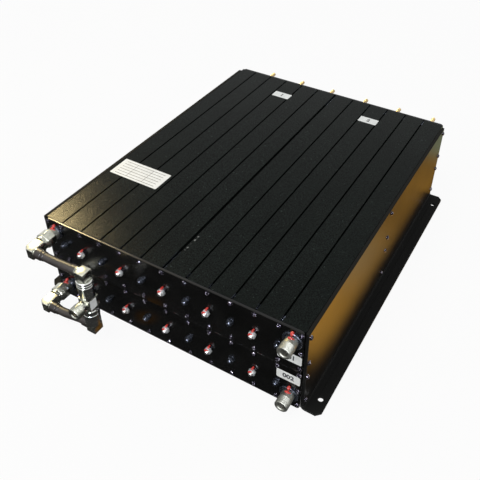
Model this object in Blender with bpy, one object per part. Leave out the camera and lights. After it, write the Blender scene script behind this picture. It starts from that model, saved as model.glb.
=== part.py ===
"""Twelve cavity radio duplexer: two decks of extruded cavities between side brackets.

Units are metres, +Z is up, +X runs along the front and +Y runs to the rear.
The body frame starts at the front left corner of the body, on the floor. The root
empty carries it so that the origin lies on the floor, under the middle of the whole part.
"""

import math

import bmesh
import bpy
from mathutils import Matrix, Vector

# Fits
SEAT_GAP = 0.0003
BODY_CLEARANCE = 0.0010

# Extruded cavity blocks, two side by side in each deck
DECK_HEIGHT = 0.0635
BODY_LENGTH = 0.4500
CHANNEL_PITCH = 0.0290
LEFT_MARGIN = 0.0246
RIGHT_MARGIN = 0.0290
CHANNELS_PER_BLOCK = 5
SKIN_WALL = 0.0040
OUTER_WALL = 0.0060
WEB_WALL = 0.0045
SEAM_WALL = 0.0045
SEAM_SLOT = 0.0035
SEAM_SLOT_DEPTH = 0.0068
CHANNEL_SLOT = 0.0022
CHANNEL_RADIUS = 0.0022
TOP_CHANNEL_DEPTH = 0.0040
BOTTOM_CHANNEL_DEPTH = 0.0060
CHANNEL_BOSS_WIDTH = 0.0090
CHANNEL_BOSS_SLOPE = 0.0016
CHANNEL_FLOOR = 0.0018
CHANNEL_ARC_STEPS = 4
IRIS_DEPTH = 0.0300
IRIS_HEIGHT = 0.0280

# End plates and the screws that run into the channels
PLATE_THICKNESS = 0.0032
PLATE_CORNER = 0.0035
SCREW_HEAD_RADIUS = 0.0029
SCREW_HEAD_HEIGHT = 0.0019
SCREW_SHANK_RADIUS = 0.0015
SCREW_SHANK_LENGTH = 0.0110
SEAM_SCREW_LENGTH = 0.0330
CORNER_SCREW_INSET = 0.0030
SCREW_SIDES = 6

# Resonators, their bolts and the tuning rods
RESONATOR_RADIUS = 0.0078
RESONATOR_BORE = 0.0062
RESONATOR_END_SPACE = 0.0700
RESONATOR_SOLID = 0.0200
RESONATOR_SIDES = 8
BOLT_SHANK_RADIUS = 0.0024
BOLT_SHANK_LENGTH = 0.0120
BOLT_NUT_RADIUS = 0.0041
BOLT_NUT_HEIGHT = 0.0034
BOLT_TIP_HEIGHT = 0.0062
ROD_RADIUS = 0.0030
ROD_REACH = 0.0620
ROD_GUIDE_GAP = 0.0004
PLUNGER_GAP = 0.0007
PLUNGER_LENGTH = 0.0600
PLUNGER_OVERLAP = 0.0400
ROD_SIDES = 6
ROD_NUT_RADIUS = 0.0062
ROD_NUT_HEIGHT = 0.0045

# Coupling screws and their lock nuts
COUPLING_RADIUS = 0.0025
COUPLING_TIP_REACH = 0.0092
COUPLING_INNER_LENGTH = 0.0160
COUPLING_NUT_RADIUS = 0.0046
COUPLING_NUT_HEIGHT = 0.0058

# Side brackets
BRACKET_THICKNESS = 0.0040
BRACKET_GAP = 0.0004
BRACKET_FLANGE = 0.0200
BRACKET_FRONT = -0.0015
BRACKET_REAR_INSET = 0.0060
BRACKET_BEND = 0.0020
BRACKET_CORNER = 0.0055
BRACKET_HOLE_RADIUS = 0.0033
BRACKET_HOLE_FRONT = 0.0205
BRACKET_HOLE_REAR = 0.0235
BRACKET_HOLE_OUT = 0.0115
BODY_LIFT = 0.0010
BRACKET_SCREW_LOW = 0.0150
BRACKET_SCREW_UNDER_TOP = 0.0080
BRACKET_SCREW_FRONT = 0.0042
BRACKET_SCREW_REAR = 0.0035
BRACKET_SCREW_SHIFT = 0.0055
BRACKET_SCREW_HEAD = 0.0031

# Panel jacks, one coaxial interface used on jacks, plugs and the tee
JACK_INSET_LEFT = 0.0145
JACK_INSET_RIGHT = 0.0128
JACK_UNDER_TOP = 0.0155
JACK_RISE_LOWER = 0.0215
JACK_REACH = 0.0203
JACK_RING_RADII = {"left": 0.0096, "right": 0.0116}
JACK_RING_HEIGHT = 0.0028
JACK_BOSS_RADIUS = 0.0052
JACK_BOSS_LENGTH = 0.0075
SHELL_RADIUS = 0.00795
SHELL_BORE = 0.0044
SHELL_BORE_DEPTH = 0.0095
CONTACT_RADIUS = 0.0017
CONTACT_BORE = 0.0011
CONTACT_RECESS = 0.0049
LOOP_WIRE_RADIUS = 0.0009
LOOP_REACH = 0.0260
LOOP_SPREAD = 0.0080
TURN_SIDES = 12

# Plugs of the harness
SLEEVE_OUTER = 0.0040
SLEEVE_INNER = 0.0033
SLEEVE_DEPTH = 0.0075
PIN_RADIUS = 0.0008
PIN_DEPTH = 0.0070
SHOULDER_RADIUS = 0.0071
SHOULDER_LENGTH = 0.0024
NECK_RADIUS = 0.0055
NUT_BORE = 0.0083
NUT_LIP_BORE = 0.0059
NUT_LIP = 0.0020
HEX_NUT_RADIUS = 0.0107
HEX_NUT_COVER = 0.0115
HEX_NUT_COLLAR = 0.0088
FERRULE_RADIUS = 0.0065
ELBOW_REACH = 0.0185
ELBOW_END = 0.0066
ELBOW_BACK = 0.0060
ELBOW_SIDE = 0.0078
ELBOW_HEIGHT = 0.0140
ELBOW_MITRE = 0.0045
ELBOW_FERRULE_LENGTH = 0.0170
SQUARE_WIDTH = 0.0127
SQUARE_DEPTH = 0.0140
SQUARE_HALF_HEIGHT = 0.0066
SQUARE_REACH = 0.0200
SQUARE_FERRULE_LENGTH = 0.0160
ROUND_NUT_RADIUS = 0.0093
ROUND_NUT_RING_RADIUS = 0.0098
ROUND_NUT_RING_LENGTH = 0.0110
ROUND_NUT_SPACE = 0.0010
FERRULE_BORE_DEPTH = 0.0080
CABLE_RADIUS = 0.0054
CABLE_SAG = 0.0008
CABLE_POINTS = 7

# Tee connector
TEE_X = 0.0923
TEE_BLOCK = 0.0165
TEE_BRANCH_REACH = 0.0250
TEE_PLUG_RISE = {"lower": 0.0060, "upper": 0.0013}

# Colours
BLACK_ANODISED = (0.016, 0.018, 0.017)
BLACK_PAINT = (0.012, 0.012, 0.012)
NICKEL = (0.62, 0.60, 0.55)
BRASS = (0.72, 0.50, 0.22)
COPPER = (0.70, 0.38, 0.24)
SILVER = (0.80, 0.80, 0.78)
BLACK_JACKET = (0.02, 0.02, 0.02)

# Places worked out from the sizes above
OUTWARD_FRONT = (math.radians(90), 0.0, 0.0)
OUTWARD_REAR = (math.radians(-90), 0.0, 0.0)
BLOCK_HEIGHT = DECK_HEIGHT - SEAT_GAP
RESONATOR_LENGTH = BODY_LENGTH - RESONATOR_END_SPACE
BRACKET_LENGTH = BODY_LENGTH - BRACKET_REAR_INSET - BRACKET_FRONT
SEAM_X = LEFT_MARGIN + CHANNELS_PER_BLOCK * CHANNEL_PITCH + SEAM_SLOT / 2
BODY_WIDTH = SEAM_X + SEAM_SLOT / 2 + CHANNELS_PER_BLOCK * CHANNEL_PITCH + RIGHT_MARGIN
DECK_FLOORS = {"lower": BODY_LIFT, "upper": BODY_LIFT + DECK_HEIGHT}
BODY_TOP = BODY_LIFT + DECK_HEIGHT + BLOCK_HEIGHT
JACK_HEIGHTS = {
    "lower": DECK_FLOORS["lower"] + JACK_RISE_LOWER,
    "upper": DECK_FLOORS["upper"] + DECK_HEIGHT - JACK_UNDER_TOP,
}
JACK_PLACES = {"left": JACK_INSET_LEFT, "right": BODY_WIDTH - JACK_INSET_RIGHT}
JACK_MOUTH_Y = -PLATE_THICKNESS - JACK_REACH
CABLE_Y = JACK_MOUTH_Y - ELBOW_REACH
PLUG_HEIGHTS = {deck: JACK_HEIGHTS[deck] + TEE_PLUG_RISE[deck] for deck in JACK_HEIGHTS}
TEE_Z = (PLUG_HEIGHTS["lower"] + PLUG_HEIGHTS["upper"]) / 2
TEE_ARM_REACH = (PLUG_HEIGHTS["upper"] - PLUG_HEIGHTS["lower"]) / 2 - SQUARE_REACH
ROUND_NUT_COVER = TEE_ARM_REACH - TEE_BLOCK / 2 - ROUND_NUT_SPACE
REAR_FACE_Y = BODY_LENGTH + PLATE_THICKNESS
ROD_TIP_Y = REAR_FACE_Y + ROD_REACH
FRONT_EDGE_Y = CABLE_Y - TEE_BRANCH_REACH
MIDDLE_Y = (FRONT_EDGE_Y + ROD_TIP_Y) / 2


def clear_scene():
    """Start from an empty file, whatever it holds."""
    for thing in list(bpy.data.objects):
        bpy.data.objects.remove(thing, do_unlink=True)


def new_collection(name):
    collection = bpy.data.collections.new(name)
    bpy.context.scene.collection.children.link(collection)
    return collection


def new_material(name, colour, metallic, roughness):
    """A Principled material in the finish of one group of pieces."""
    material = bpy.data.materials.new(name)
    material.use_nodes = True
    shader = material.node_tree.nodes["Principled BSDF"]
    shader.inputs["Base Color"].default_value = (*colour, 1.0)
    shader.inputs["Metallic"].default_value = metallic
    shader.inputs["Roughness"].default_value = roughness
    return material


clear_scene()
PARTS = new_collection("rf_duplexer")
CUTTERS = new_collection("cutters")
ROOT = bpy.data.objects.new("body_frame", None)
PARTS.objects.link(ROOT)
ROOT.location = (-BODY_WIDTH / 2, -MIDDLE_Y, 0.0)
MATERIALS = {
    "anodised": new_material("black_anodised", BLACK_ANODISED, 0.4, 0.45),
    "paint": new_material("black_paint", BLACK_PAINT, 0.0, 0.35),
    "nickel": new_material("nickel", NICKEL, 1.0, 0.3),
    "brass": new_material("brass", BRASS, 1.0, 0.35),
    "copper": new_material("copper", COPPER, 1.0, 0.35),
    "silver": new_material("silver_plate", SILVER, 1.0, 0.25),
    "jacket": new_material("black_jacket", BLACK_JACKET, 0.0, 0.5),
}


def add_object(name, data, material=None, place=(0, 0, 0), turn=(0, 0, 0)):
    """Link a named piece under the body frame."""
    thing = bpy.data.objects.new(name, data)
    PARTS.objects.link(thing)
    thing.parent = ROOT
    thing.location = place
    thing.rotation_euler = turn
    if material:
        data.materials.append(MATERIALS[material])
    return thing


def as_tool(thing):
    """Keep a cutter or a joined shape out of the model and out of renders."""
    PARTS.objects.unlink(thing)
    CUTTERS.objects.link(thing)
    thing.hide_render = True
    thing.display_type = "WIRE"
    return thing


def boolean(target, tool, operation):
    modifier = target.modifiers.new(operation.lower(), "BOOLEAN")
    modifier.operation = operation
    modifier.solver = "EXACT"
    modifier.object = as_tool(tool)
    return target


def cut(target, tool):
    return boolean(target, tool, "DIFFERENCE")


def join(target, tool):
    return boolean(target, tool, "UNION")


def mesh_from(bm, name):
    mesh = bpy.data.meshes.new(name)
    bm.to_mesh(mesh)
    bm.free()
    return mesh


def add_box(bm, low, high):
    """A box between two corners."""
    size = Vector(high) - Vector(low)
    middle = (Vector(high) + Vector(low)) / 2
    matrix = Matrix.Translation(middle) @ Matrix.Diagonal((*size, 1.0))
    return bmesh.ops.create_cube(bm, size=1.0, matrix=matrix)["verts"]


def add_drum(bm, radius, low, high, sides, place=(0.0, 0.0), turn=0.0):
    """A round or polygonal prism along Z between two heights, with a corner on +X."""
    corner = Matrix.Rotation(turn + math.radians(90), 4, "Z")
    matrix = Matrix.Translation((*place, (low + high) / 2)) @ corner
    bmesh.ops.create_cone(
        bm, cap_ends=True, segments=sides, radius1=radius, radius2=radius,
        depth=high - low, matrix=matrix,
    )


def turned_mesh(name, profile, sides):
    """Revolve a profile of (radius, height), walked down its outer side, about Z."""
    closed = profile[0][0] > 0
    bm = bmesh.new()
    verts = [bm.verts.new((radius, 0.0, height)) for radius, height in profile]
    pairs = list(zip(verts, verts[1:]))
    if closed:
        pairs.append((verts[-1], verts[0]))
    for pair in pairs:
        bm.edges.new(pair)
    geometry = list(bm.verts) + list(bm.edges)
    bmesh.ops.spin(
        bm, geom=geometry, cent=(0, 0, 0), axis=(0, 0, 1), angle=math.tau, steps=sides,
        use_merge=True,
    )
    bmesh.ops.remove_doubles(bm, verts=bm.verts, dist=0.00001)
    bmesh.ops.recalc_face_normals(bm, faces=bm.faces)
    return mesh_from(bm, name)


def sheet_from_outlines(name, outlines, thickness, material, place, turn):
    """A flat sheet or an extruded bar from 2D outlines, the first one outside."""
    curve = bpy.data.curves.new(name, "CURVE")
    curve.dimensions = "2D"
    curve.fill_mode = "BOTH"
    curve.extrude = thickness / 2
    for outline in outlines:
        spline = curve.splines.new("POLY")
        spline.points.add(len(outline) - 1)
        for point, (x, y) in zip(spline.points, outline):
            point.co = (x, y, 0.0, 1.0)
        spline.use_cyclic_u = True
    flat = bpy.data.objects.new(name + "_curve", curve)
    PARTS.objects.link(flat)
    depsgraph = bpy.context.evaluated_depsgraph_get()
    mesh = bpy.data.meshes.new_from_object(flat.evaluated_get(depsgraph))
    bpy.data.objects.remove(flat, do_unlink=True)
    bm = bmesh.new()
    bm.from_mesh(mesh)
    bmesh.ops.remove_doubles(bm, verts=bm.verts, dist=0.00001)
    bmesh.ops.recalc_face_normals(bm, faces=bm.faces)
    caps = [face for face in bm.faces if abs(face.normal.z) > 0.5 or face.calc_area() < 1e-10]
    inner = [edge for edge in bm.edges if all(face in caps for face in edge.link_faces)]
    bmesh.ops.beautify_fill(bm, faces=caps, edges=inner)
    bm.to_mesh(mesh)
    bm.free()
    return add_object(name, mesh, material, place, turn)


def channel_places():
    """Distance of every screw line from the body's left side, channels and seam alike."""
    left = [LEFT_MARGIN + CHANNEL_PITCH * step for step in range(CHANNELS_PER_BLOCK)]
    right = [BODY_WIDTH - RIGHT_MARGIN - CHANNEL_PITCH * step for step in range(CHANNELS_PER_BLOCK)]
    return left + [SEAM_X] + sorted(right)


def cavity_places():
    return channel_places()[0::2]


def coupling_places():
    return channel_places()[1::2]


def channel_outline(middle, depth):
    """One open screw channel in a floor at height 0, from its near edge to its far edge."""
    opening = math.asin(CHANNEL_SLOT / 2 / CHANNEL_RADIUS)
    start = math.radians(270) - opening
    sweep = math.tau - 2 * opening
    points = [(middle - CHANNEL_SLOT / 2, 0.0)]
    for step in range(CHANNEL_ARC_STEPS + 1):
        angle = start - sweep * step / CHANNEL_ARC_STEPS
        across = middle + CHANNEL_RADIUS * math.cos(angle)
        points.append((across, depth + CHANNEL_RADIUS * math.sin(angle)))
    points.append((middle + CHANNEL_SLOT / 2, 0.0))
    return points


def block_outline(margin):
    """Outside of one block, measured from its outer side towards the seam."""
    channels = [margin + CHANNEL_PITCH * step for step in range(CHANNELS_PER_BLOCK)]
    seam = channels[-1] + CHANNEL_PITCH + SEAM_SLOT / 2
    face = seam - SEAT_GAP / 2
    step_in = seam - SEAM_SLOT / 2
    floor = [(0.0, 0.0)]
    for channel in channels:
        floor += channel_outline(channel, BOTTOM_CHANNEL_DEPTH)
    floor += [(step_in, 0.0), (step_in, SEAM_SLOT_DEPTH), (face, SEAM_SLOT_DEPTH)]
    roof = [(0.0, 0.0)]
    for channel in channels:
        roof += channel_outline(channel, TOP_CHANNEL_DEPTH)
    roof += [(step_in, 0.0), (step_in, SEAM_SLOT_DEPTH), (face, SEAM_SLOT_DEPTH)]
    return floor + [(x, BLOCK_HEIGHT - z) for x, z in reversed(roof)]


def cell_outline(near, far, middle, near_boss, far_boss):
    """One cavity of a block, with the bosses that hold the screw channels."""
    half = CHANNEL_BOSS_WIDTH / 2
    slope = CHANNEL_BOSS_SLOPE
    edges = []
    for depth in (BOTTOM_CHANNEL_DEPTH, TOP_CHANNEL_DEPTH):
        boss = depth + CHANNEL_RADIUS + CHANNEL_FLOOR
        row = [(near, SKIN_WALL)]
        if near_boss:
            corner = near - WEB_WALL / 2 + half
            row = [(near, boss), (corner, boss), (corner + slope, SKIN_WALL)]
        row += [(middle - half - slope, SKIN_WALL), (middle - half, boss)]
        row += [(middle + half, boss), (middle + half + slope, SKIN_WALL)]
        if far_boss:
            corner = far + WEB_WALL / 2 - half
            row += [(corner - slope, SKIN_WALL), (corner, boss), (far, boss)]
        else:
            row += [(far, SKIN_WALL)]
        edges.append(row)
    floor, roof = edges
    return floor + [(x, BLOCK_HEIGHT - z) for x, z in reversed(roof)]


def block_cells(margin):
    """The cavities of one block, between its outer wall, its webs and its seam wall."""
    channels = [margin + CHANNEL_PITCH * step for step in range(CHANNELS_PER_BLOCK)]
    seam_face = channels[-1] + CHANNEL_PITCH + SEAM_SLOT / 2 - SEAT_GAP / 2
    webs = channels[1::2]
    nears = [OUTER_WALL] + [web + WEB_WALL / 2 for web in webs]
    fars = [web - WEB_WALL / 2 for web in webs] + [seam_face - SEAM_WALL]
    cells = []
    for index, (near, far, middle) in enumerate(zip(nears, fars, channels[0::2])):
        cells.append(cell_outline(near, far, middle, index > 0, index < len(webs)))
    return cells


def cavity_block(deck, side):
    """One extruded block of three cavities, with the coupling irises cut in its walls."""
    floor = DECK_FLOORS[deck]
    margin = LEFT_MARGIN if side == "left" else RIGHT_MARGIN
    way = 1 if side == "left" else -1
    edge = 0.0 if side == "left" else BODY_WIDTH
    outlines = [block_outline(margin)] + block_cells(margin)
    outlines = [[(way * x, z) for x, z in outline] for outline in outlines]
    place = (edge, BODY_LENGTH / 2, floor)
    block = sheet_from_outlines(
        f"cavity_block_{deck}_{side}", outlines, BODY_LENGTH, "anodised", place, OUTWARD_FRONT
    )
    cut(block, iris_cutter(deck))
    return block


def iris_cutter(deck):
    """Openings at the front of every wall between two cavities."""
    bm = bmesh.new()
    middle = DECK_FLOORS[deck] + BLOCK_HEIGHT / 2
    half_width = max(WEB_WALL, SEAM_WALL * 2 + SEAT_GAP) / 2 + BODY_CLEARANCE
    for x in coupling_places():
        low = (x - half_width, -BODY_CLEARANCE, middle - IRIS_HEIGHT / 2)
        high = (x + half_width, IRIS_DEPTH, middle + IRIS_HEIGHT / 2)
        add_box(bm, low, high)
    return add_object(f"iris_cutter_{deck}", mesh_from(bm, "iris_cutter"))


def bracket_screw_places(deck):
    """Rows and columns of the side screws: (y, z) in the body frame."""
    floor = DECK_FLOORS[deck]
    rows = [floor + BRACKET_SCREW_LOW, floor + BLOCK_HEIGHT - BRACKET_SCREW_UNDER_TOP]
    front = BRACKET_FRONT + BRACKET_SCREW_FRONT
    middle = BRACKET_FRONT + BRACKET_LENGTH / 2 + BRACKET_SCREW_SHIFT
    rear = BRACKET_FRONT + BRACKET_LENGTH - BRACKET_SCREW_REAR
    columns = [front, middle, rear]
    return [(y, z) for y in columns for z in rows]


def plate_outline():
    """Rounded rectangle of an end plate, from its lower left corner."""
    radius = PLATE_CORNER
    height = BLOCK_HEIGHT
    corners = [
        (BODY_WIDTH - radius, radius, -90), (BODY_WIDTH - radius, height - radius, 0),
        (radius, height - radius, 90), (radius, radius, 180),
    ]
    points = []
    for x, z, start in corners:
        for turn in (0, 45, 90):
            angle = math.radians(start + turn)
            points.append((x + radius * math.cos(angle), z + radius * math.sin(angle)))
    return points


def end_screws(deck, end):
    """Panel screws of one end plate, in the plate's own frame with +Z outward."""
    bm = bmesh.new()
    way = 1 if end == "front" else -1
    edges = [CORNER_SCREW_INSET, BODY_WIDTH - CORNER_SCREW_INSET] if end == "front" else []
    head_top = PLATE_THICKNESS + SCREW_HEAD_HEIGHT
    top_row = BLOCK_HEIGHT - TOP_CHANNEL_DEPTH
    for height in (BOTTOM_CHANNEL_DEPTH, top_row):
        for x in channel_places() + edges:
            place = (way * x, height)
            add_drum(bm, SCREW_HEAD_RADIUS, PLATE_THICKNESS / 2, head_top, SCREW_SIDES, place)
    if deck == "upper":
        for x in channel_places():
            length = SEAM_SCREW_LENGTH if x == SEAM_X else SCREW_SHANK_LENGTH
            place = (way * x, top_row)
            add_drum(bm, SCREW_SHANK_RADIUS, -length, PLATE_THICKNESS / 3, SCREW_SIDES, place)
    return mesh_from(bm, f"screws_{end}_{deck}")


def front_plate(deck):
    """Front plate with its screws, resonator bolts and the lock nuts of the coupling screws."""
    floor = DECK_FLOORS[deck]
    middle = BLOCK_HEIGHT / 2
    plate = sheet_from_outlines(
        f"front_plate_{deck}", [plate_outline()], PLATE_THICKNESS, "paint",
        (0.0, -PLATE_THICKNESS / 2, floor), OUTWARD_FRONT,
    )
    frame = {"place": (0.0, 0.0, floor), "turn": OUTWARD_FRONT}
    join(plate, add_object(f"screws_front_{deck}", end_screws(deck, "front"), **frame))
    nuts = bmesh.new()
    bolts = bmesh.new()
    root = PLATE_THICKNESS / 2
    for x in cavity_places():
        nut_top = PLATE_THICKNESS + BOLT_NUT_HEIGHT
        bolt_top = PLATE_THICKNESS + BOLT_TIP_HEIGHT
        add_drum(nuts, BOLT_NUT_RADIUS, root, nut_top, 6, (x, middle))
        add_drum(bolts, BOLT_SHANK_RADIUS, -BOLT_SHANK_LENGTH, bolt_top, SCREW_SIDES, (x, middle))
    for x in coupling_places():
        nut_top = PLATE_THICKNESS + COUPLING_NUT_HEIGHT
        add_drum(nuts, COUPLING_NUT_RADIUS, root, nut_top, 6, (x, middle))
    join(plate, add_object(f"nuts_front_{deck}", mesh_from(nuts, "nuts"), **frame))
    join(plate, add_object(f"bolts_front_{deck}", mesh_from(bolts, "bolts"), **frame))
    holes = bmesh.new()
    far = PLATE_THICKNESS + COUPLING_NUT_HEIGHT + BODY_CLEARANCE
    for x in coupling_places():
        add_drum(holes, COUPLING_RADIUS + SEAT_GAP, -BODY_CLEARANCE, far, SCREW_SIDES, (x, middle))
    for x in JACK_PLACES.values():
        height = JACK_HEIGHTS[deck] - floor
        add_drum(holes, JACK_BOSS_RADIUS + SEAT_GAP, -BODY_CLEARANCE, far, TURN_SIDES, (x, height))
    cut(plate, add_object(f"holes_front_{deck}", mesh_from(holes, "holes"), **frame))
    return plate


def rear_plate(deck):
    """Rear plate with its screws and the lock nuts that the tuning rods slide through."""
    floor = DECK_FLOORS[deck]
    middle = BLOCK_HEIGHT / 2
    plate = sheet_from_outlines(
        f"rear_plate_{deck}", [plate_outline()], PLATE_THICKNESS, "paint",
        (0.0, BODY_LENGTH + PLATE_THICKNESS / 2, floor), OUTWARD_FRONT,
    )
    turn = (math.radians(90), 0.0, math.radians(180))
    frame = {"place": (0.0, BODY_LENGTH, floor), "turn": turn}
    join(plate, add_object(f"screws_rear_{deck}", end_screws(deck, "rear"), **frame))
    nuts = bmesh.new()
    holes = bmesh.new()
    top = PLATE_THICKNESS + ROD_NUT_HEIGHT
    for x in cavity_places():
        add_drum(nuts, ROD_NUT_RADIUS, PLATE_THICKNESS / 2, top, 6, (-x, middle))
        add_drum(holes, ROD_RADIUS + ROD_GUIDE_GAP, -BODY_CLEARANCE, top + BODY_CLEARANCE,
                 ROD_SIDES, (-x, middle))
    join(plate, add_object(f"nuts_rear_{deck}", mesh_from(nuts, "nuts"), **frame))
    cut(plate, add_object(f"holes_rear_{deck}", mesh_from(holes, "holes"), **frame))
    return plate


def side_bracket(side):
    """Bent bracket: a wall against both decks, a foot flange with two holes, and its screws."""
    way = -1 if side == "left" else 1
    edge = 0.0 if side == "left" else BODY_WIDTH
    inner = BRACKET_GAP
    outer = inner + BRACKET_THICKNESS
    foot = outer + BRACKET_FLANGE
    bend = BRACKET_BEND
    points = [(inner, BODY_TOP), (inner, BRACKET_THICKNESS + bend)]
    heel = bend + BRACKET_THICKNESS
    for turn in (22.5, 45, 67.5, 90):
        angle = math.radians(turn)
        points.append((inner + heel * (1 - math.cos(angle)), heel * (1 - math.sin(angle))))
    points += [(foot, 0.0), (foot, BRACKET_THICKNESS), (outer + bend, BRACKET_THICKNESS)]
    for turn in (30, 60):
        angle = math.radians(turn)
        across = outer + bend * (1 - math.sin(angle))
        points.append((across, BRACKET_THICKNESS + bend * (1 - math.cos(angle))))
    points += [(outer, BRACKET_THICKNESS + bend), (outer, BODY_TOP)]
    outline = [(way * x, z) for x, z in points]
    place = (edge, BRACKET_FRONT + BRACKET_LENGTH / 2, 0.0)
    bracket = sheet_from_outlines(
        f"side_bracket_{side}", [outline], BRACKET_LENGTH, "paint", place, OUTWARD_FRONT
    )
    join(bracket, bracket_screws(side, way, edge, outer))
    cut(bracket, bracket_cutter(side, way, edge, outer, foot))
    return bracket


def bracket_screws(side, way, edge, outer):
    """Heads of the screws that hold one bracket to both decks."""
    bm = bmesh.new()
    for deck in DECK_FLOORS:
        for y, z in bracket_screw_places(deck):
            low = outer - BRACKET_THICKNESS / 2
            add_drum(bm, BRACKET_SCREW_HEAD, low, outer + SCREW_HEAD_HEIGHT, SCREW_SIDES, (-z, y))
    if way < 0:
        bmesh.ops.scale(bm, vec=(1, 1, -1), verts=bm.verts)
        bmesh.ops.reverse_faces(bm, faces=bm.faces)
    return add_object(
        f"screws_bracket_{side}", mesh_from(bm, "screws"), None, (edge, 0.0, 0.0),
        (0.0, math.radians(90), 0.0),
    )


def bracket_cutter(side, way, edge, outer, foot):
    """Foot holes and the cut corners of the flange."""
    bm = bmesh.new()
    rear = BRACKET_FRONT + BRACKET_LENGTH
    for y in (BRACKET_FRONT + BRACKET_HOLE_FRONT, rear - BRACKET_HOLE_REAR):
        x = way * (outer + BRACKET_HOLE_OUT)
        add_drum(bm, BRACKET_HOLE_RADIUS, -BODY_CLEARANCE, BRACKET_THICKNESS + BODY_CLEARANCE,
                 TURN_SIDES, (x, y))
    for y in (BRACKET_FRONT, rear):
        add_drum(bm, BRACKET_CORNER, -BODY_CLEARANCE, BRACKET_THICKNESS + BODY_CLEARANCE, 4,
                 (way * foot, y))
    return add_object(f"bracket_cutter_{side}", mesh_from(bm, "cutter"), None, (edge, 0.0, 0.0))


def resonator(deck, number, x):
    """Quarter wave inner conductor: a tube, solid and tapped at its front end."""
    length = RESONATOR_LENGTH
    tap = BOLT_SHANK_RADIUS + SEAT_GAP
    tap_depth = BOLT_SHANK_LENGTH + BODY_CLEARANCE
    profile = [
        (RESONATOR_BORE, length), (RESONATOR_RADIUS, length), (RESONATOR_RADIUS, 0.0),
        (tap, 0.0), (tap, tap_depth), (0.0, tap_depth),
    ]
    profile = [(0.0, RESONATOR_SOLID), (RESONATOR_BORE, RESONATOR_SOLID)] + profile
    mesh = turned_mesh("resonator", profile, RESONATOR_SIDES)
    place = (x, SEAT_GAP, DECK_FLOORS[deck] + BLOCK_HEIGHT / 2)
    return add_object(f"resonator_{deck}_{number}", mesh, "silver", place, OUTWARD_REAR)


def tuning_rod(deck, number, x):
    """Rod with a plunger that slides in the resonator's open end."""
    tip = ROD_REACH
    plunger_far = RESONATOR_LENGTH - PLUNGER_OVERLAP - REAR_FACE_Y
    plunger_near = plunger_far + PLUNGER_LENGTH
    plunger = RESONATOR_BORE - PLUNGER_GAP
    profile = [
        (0.0, tip), (ROD_RADIUS, tip), (ROD_RADIUS, plunger_near), (plunger, plunger_near),
        (plunger, plunger_far), (0.0, plunger_far),
    ]
    mesh = turned_mesh("tuning_rod", profile, ROD_SIDES)
    place = (x, REAR_FACE_Y, DECK_FLOORS[deck] + BLOCK_HEIGHT / 2)
    return add_object(f"tuning_rod_{deck}_{number}", mesh, "brass", place, OUTWARD_REAR)


def coupling_screw(deck, number, x):
    """Threaded screw that reaches through its lock nut into the iris behind the plate."""
    tip = COUPLING_TIP_REACH
    inner = -PLATE_THICKNESS - COUPLING_INNER_LENGTH
    profile = [(0.0, tip), (COUPLING_RADIUS, tip), (COUPLING_RADIUS, inner), (0.0, inner)]
    mesh = turned_mesh("coupling_screw", profile, SCREW_SIDES)
    place = (x, -PLATE_THICKNESS, DECK_FLOORS[deck] + BLOCK_HEIGHT / 2)
    return add_object(f"coupling_screw_{deck}_{number}", mesh, "nickel", place, OUTWARD_FRONT)


def socket_profile(mouth):
    """Inside of a female coaxial port whose mouth lies at a height, from its contact outward."""
    return [
        (0.0, mouth - SHELL_BORE_DEPTH), (CONTACT_BORE, mouth - SHELL_BORE_DEPTH),
        (CONTACT_BORE, mouth - CONTACT_RECESS), (CONTACT_RADIUS, mouth - CONTACT_RECESS),
        (CONTACT_RADIUS, mouth - SHELL_BORE_DEPTH), (SHELL_BORE, mouth - SHELL_BORE_DEPTH),
        (SHELL_BORE, mouth), (SHELL_RADIUS, mouth),
    ]


def panel_jack(deck, side):
    """Panel jack: threaded shell, ring, and the coupling loop behind the plate."""
    ring_low = SEAT_GAP
    ring_high = ring_low + JACK_RING_HEIGHT
    boss_end = -JACK_BOSS_LENGTH
    ring = JACK_RING_RADII[side]
    profile = socket_profile(JACK_REACH) + [
        (SHELL_RADIUS, ring_high), (ring, ring_high), (ring, ring_low),
        (JACK_BOSS_RADIUS, ring_low), (JACK_BOSS_RADIUS, boss_end), (0.0, boss_end),
    ]
    mesh = turned_mesh("panel_jack", profile, TURN_SIDES)
    place = (JACK_PLACES[side], -PLATE_THICKNESS, JACK_HEIGHTS[deck])
    jack = add_object(f"panel_jack_{deck}_{side}", mesh, "nickel", place, OUTWARD_FRONT)
    join(jack, coupling_loop(deck, side, place))
    return jack


def coupling_loop(deck, side, place):
    """Wire from the jack's pin, back along the resonator and forward to the plate."""
    way = 1 if side == "left" else -1
    start = -JACK_BOSS_LENGTH + BODY_CLEARANCE
    end = -PLATE_THICKNESS - SEAT_GAP
    radius = LOOP_SPREAD / 2
    points = [(0.0, start), (0.0, -LOOP_REACH + radius)]
    for step in range(1, 4):
        angle = math.pi * step / 4
        points.append((radius * (1 - math.cos(angle)), -LOOP_REACH + radius * (1 - math.sin(angle))))
    points += [(LOOP_SPREAD, -LOOP_REACH + radius), (LOOP_SPREAD, end)]
    curve = wire_curve("coupling_loop", [(way * x, 0.0, z) for x, z in points], LOOP_WIRE_RADIUS, 0)
    return curve_to_piece(f"coupling_loop_{deck}_{side}", curve, None, place, OUTWARD_FRONT)


def wire_curve(name, points, radius, resolution):
    curve = bpy.data.curves.new(name, "CURVE")
    curve.dimensions = "3D"
    curve.bevel_depth = radius
    curve.bevel_resolution = resolution
    curve.use_fill_caps = True
    spline = curve.splines.new("POLY")
    spline.points.add(len(points) - 1)
    for point, (x, y, z) in zip(spline.points, points):
        point.co = (x, y, z, 1.0)
    return curve


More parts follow.
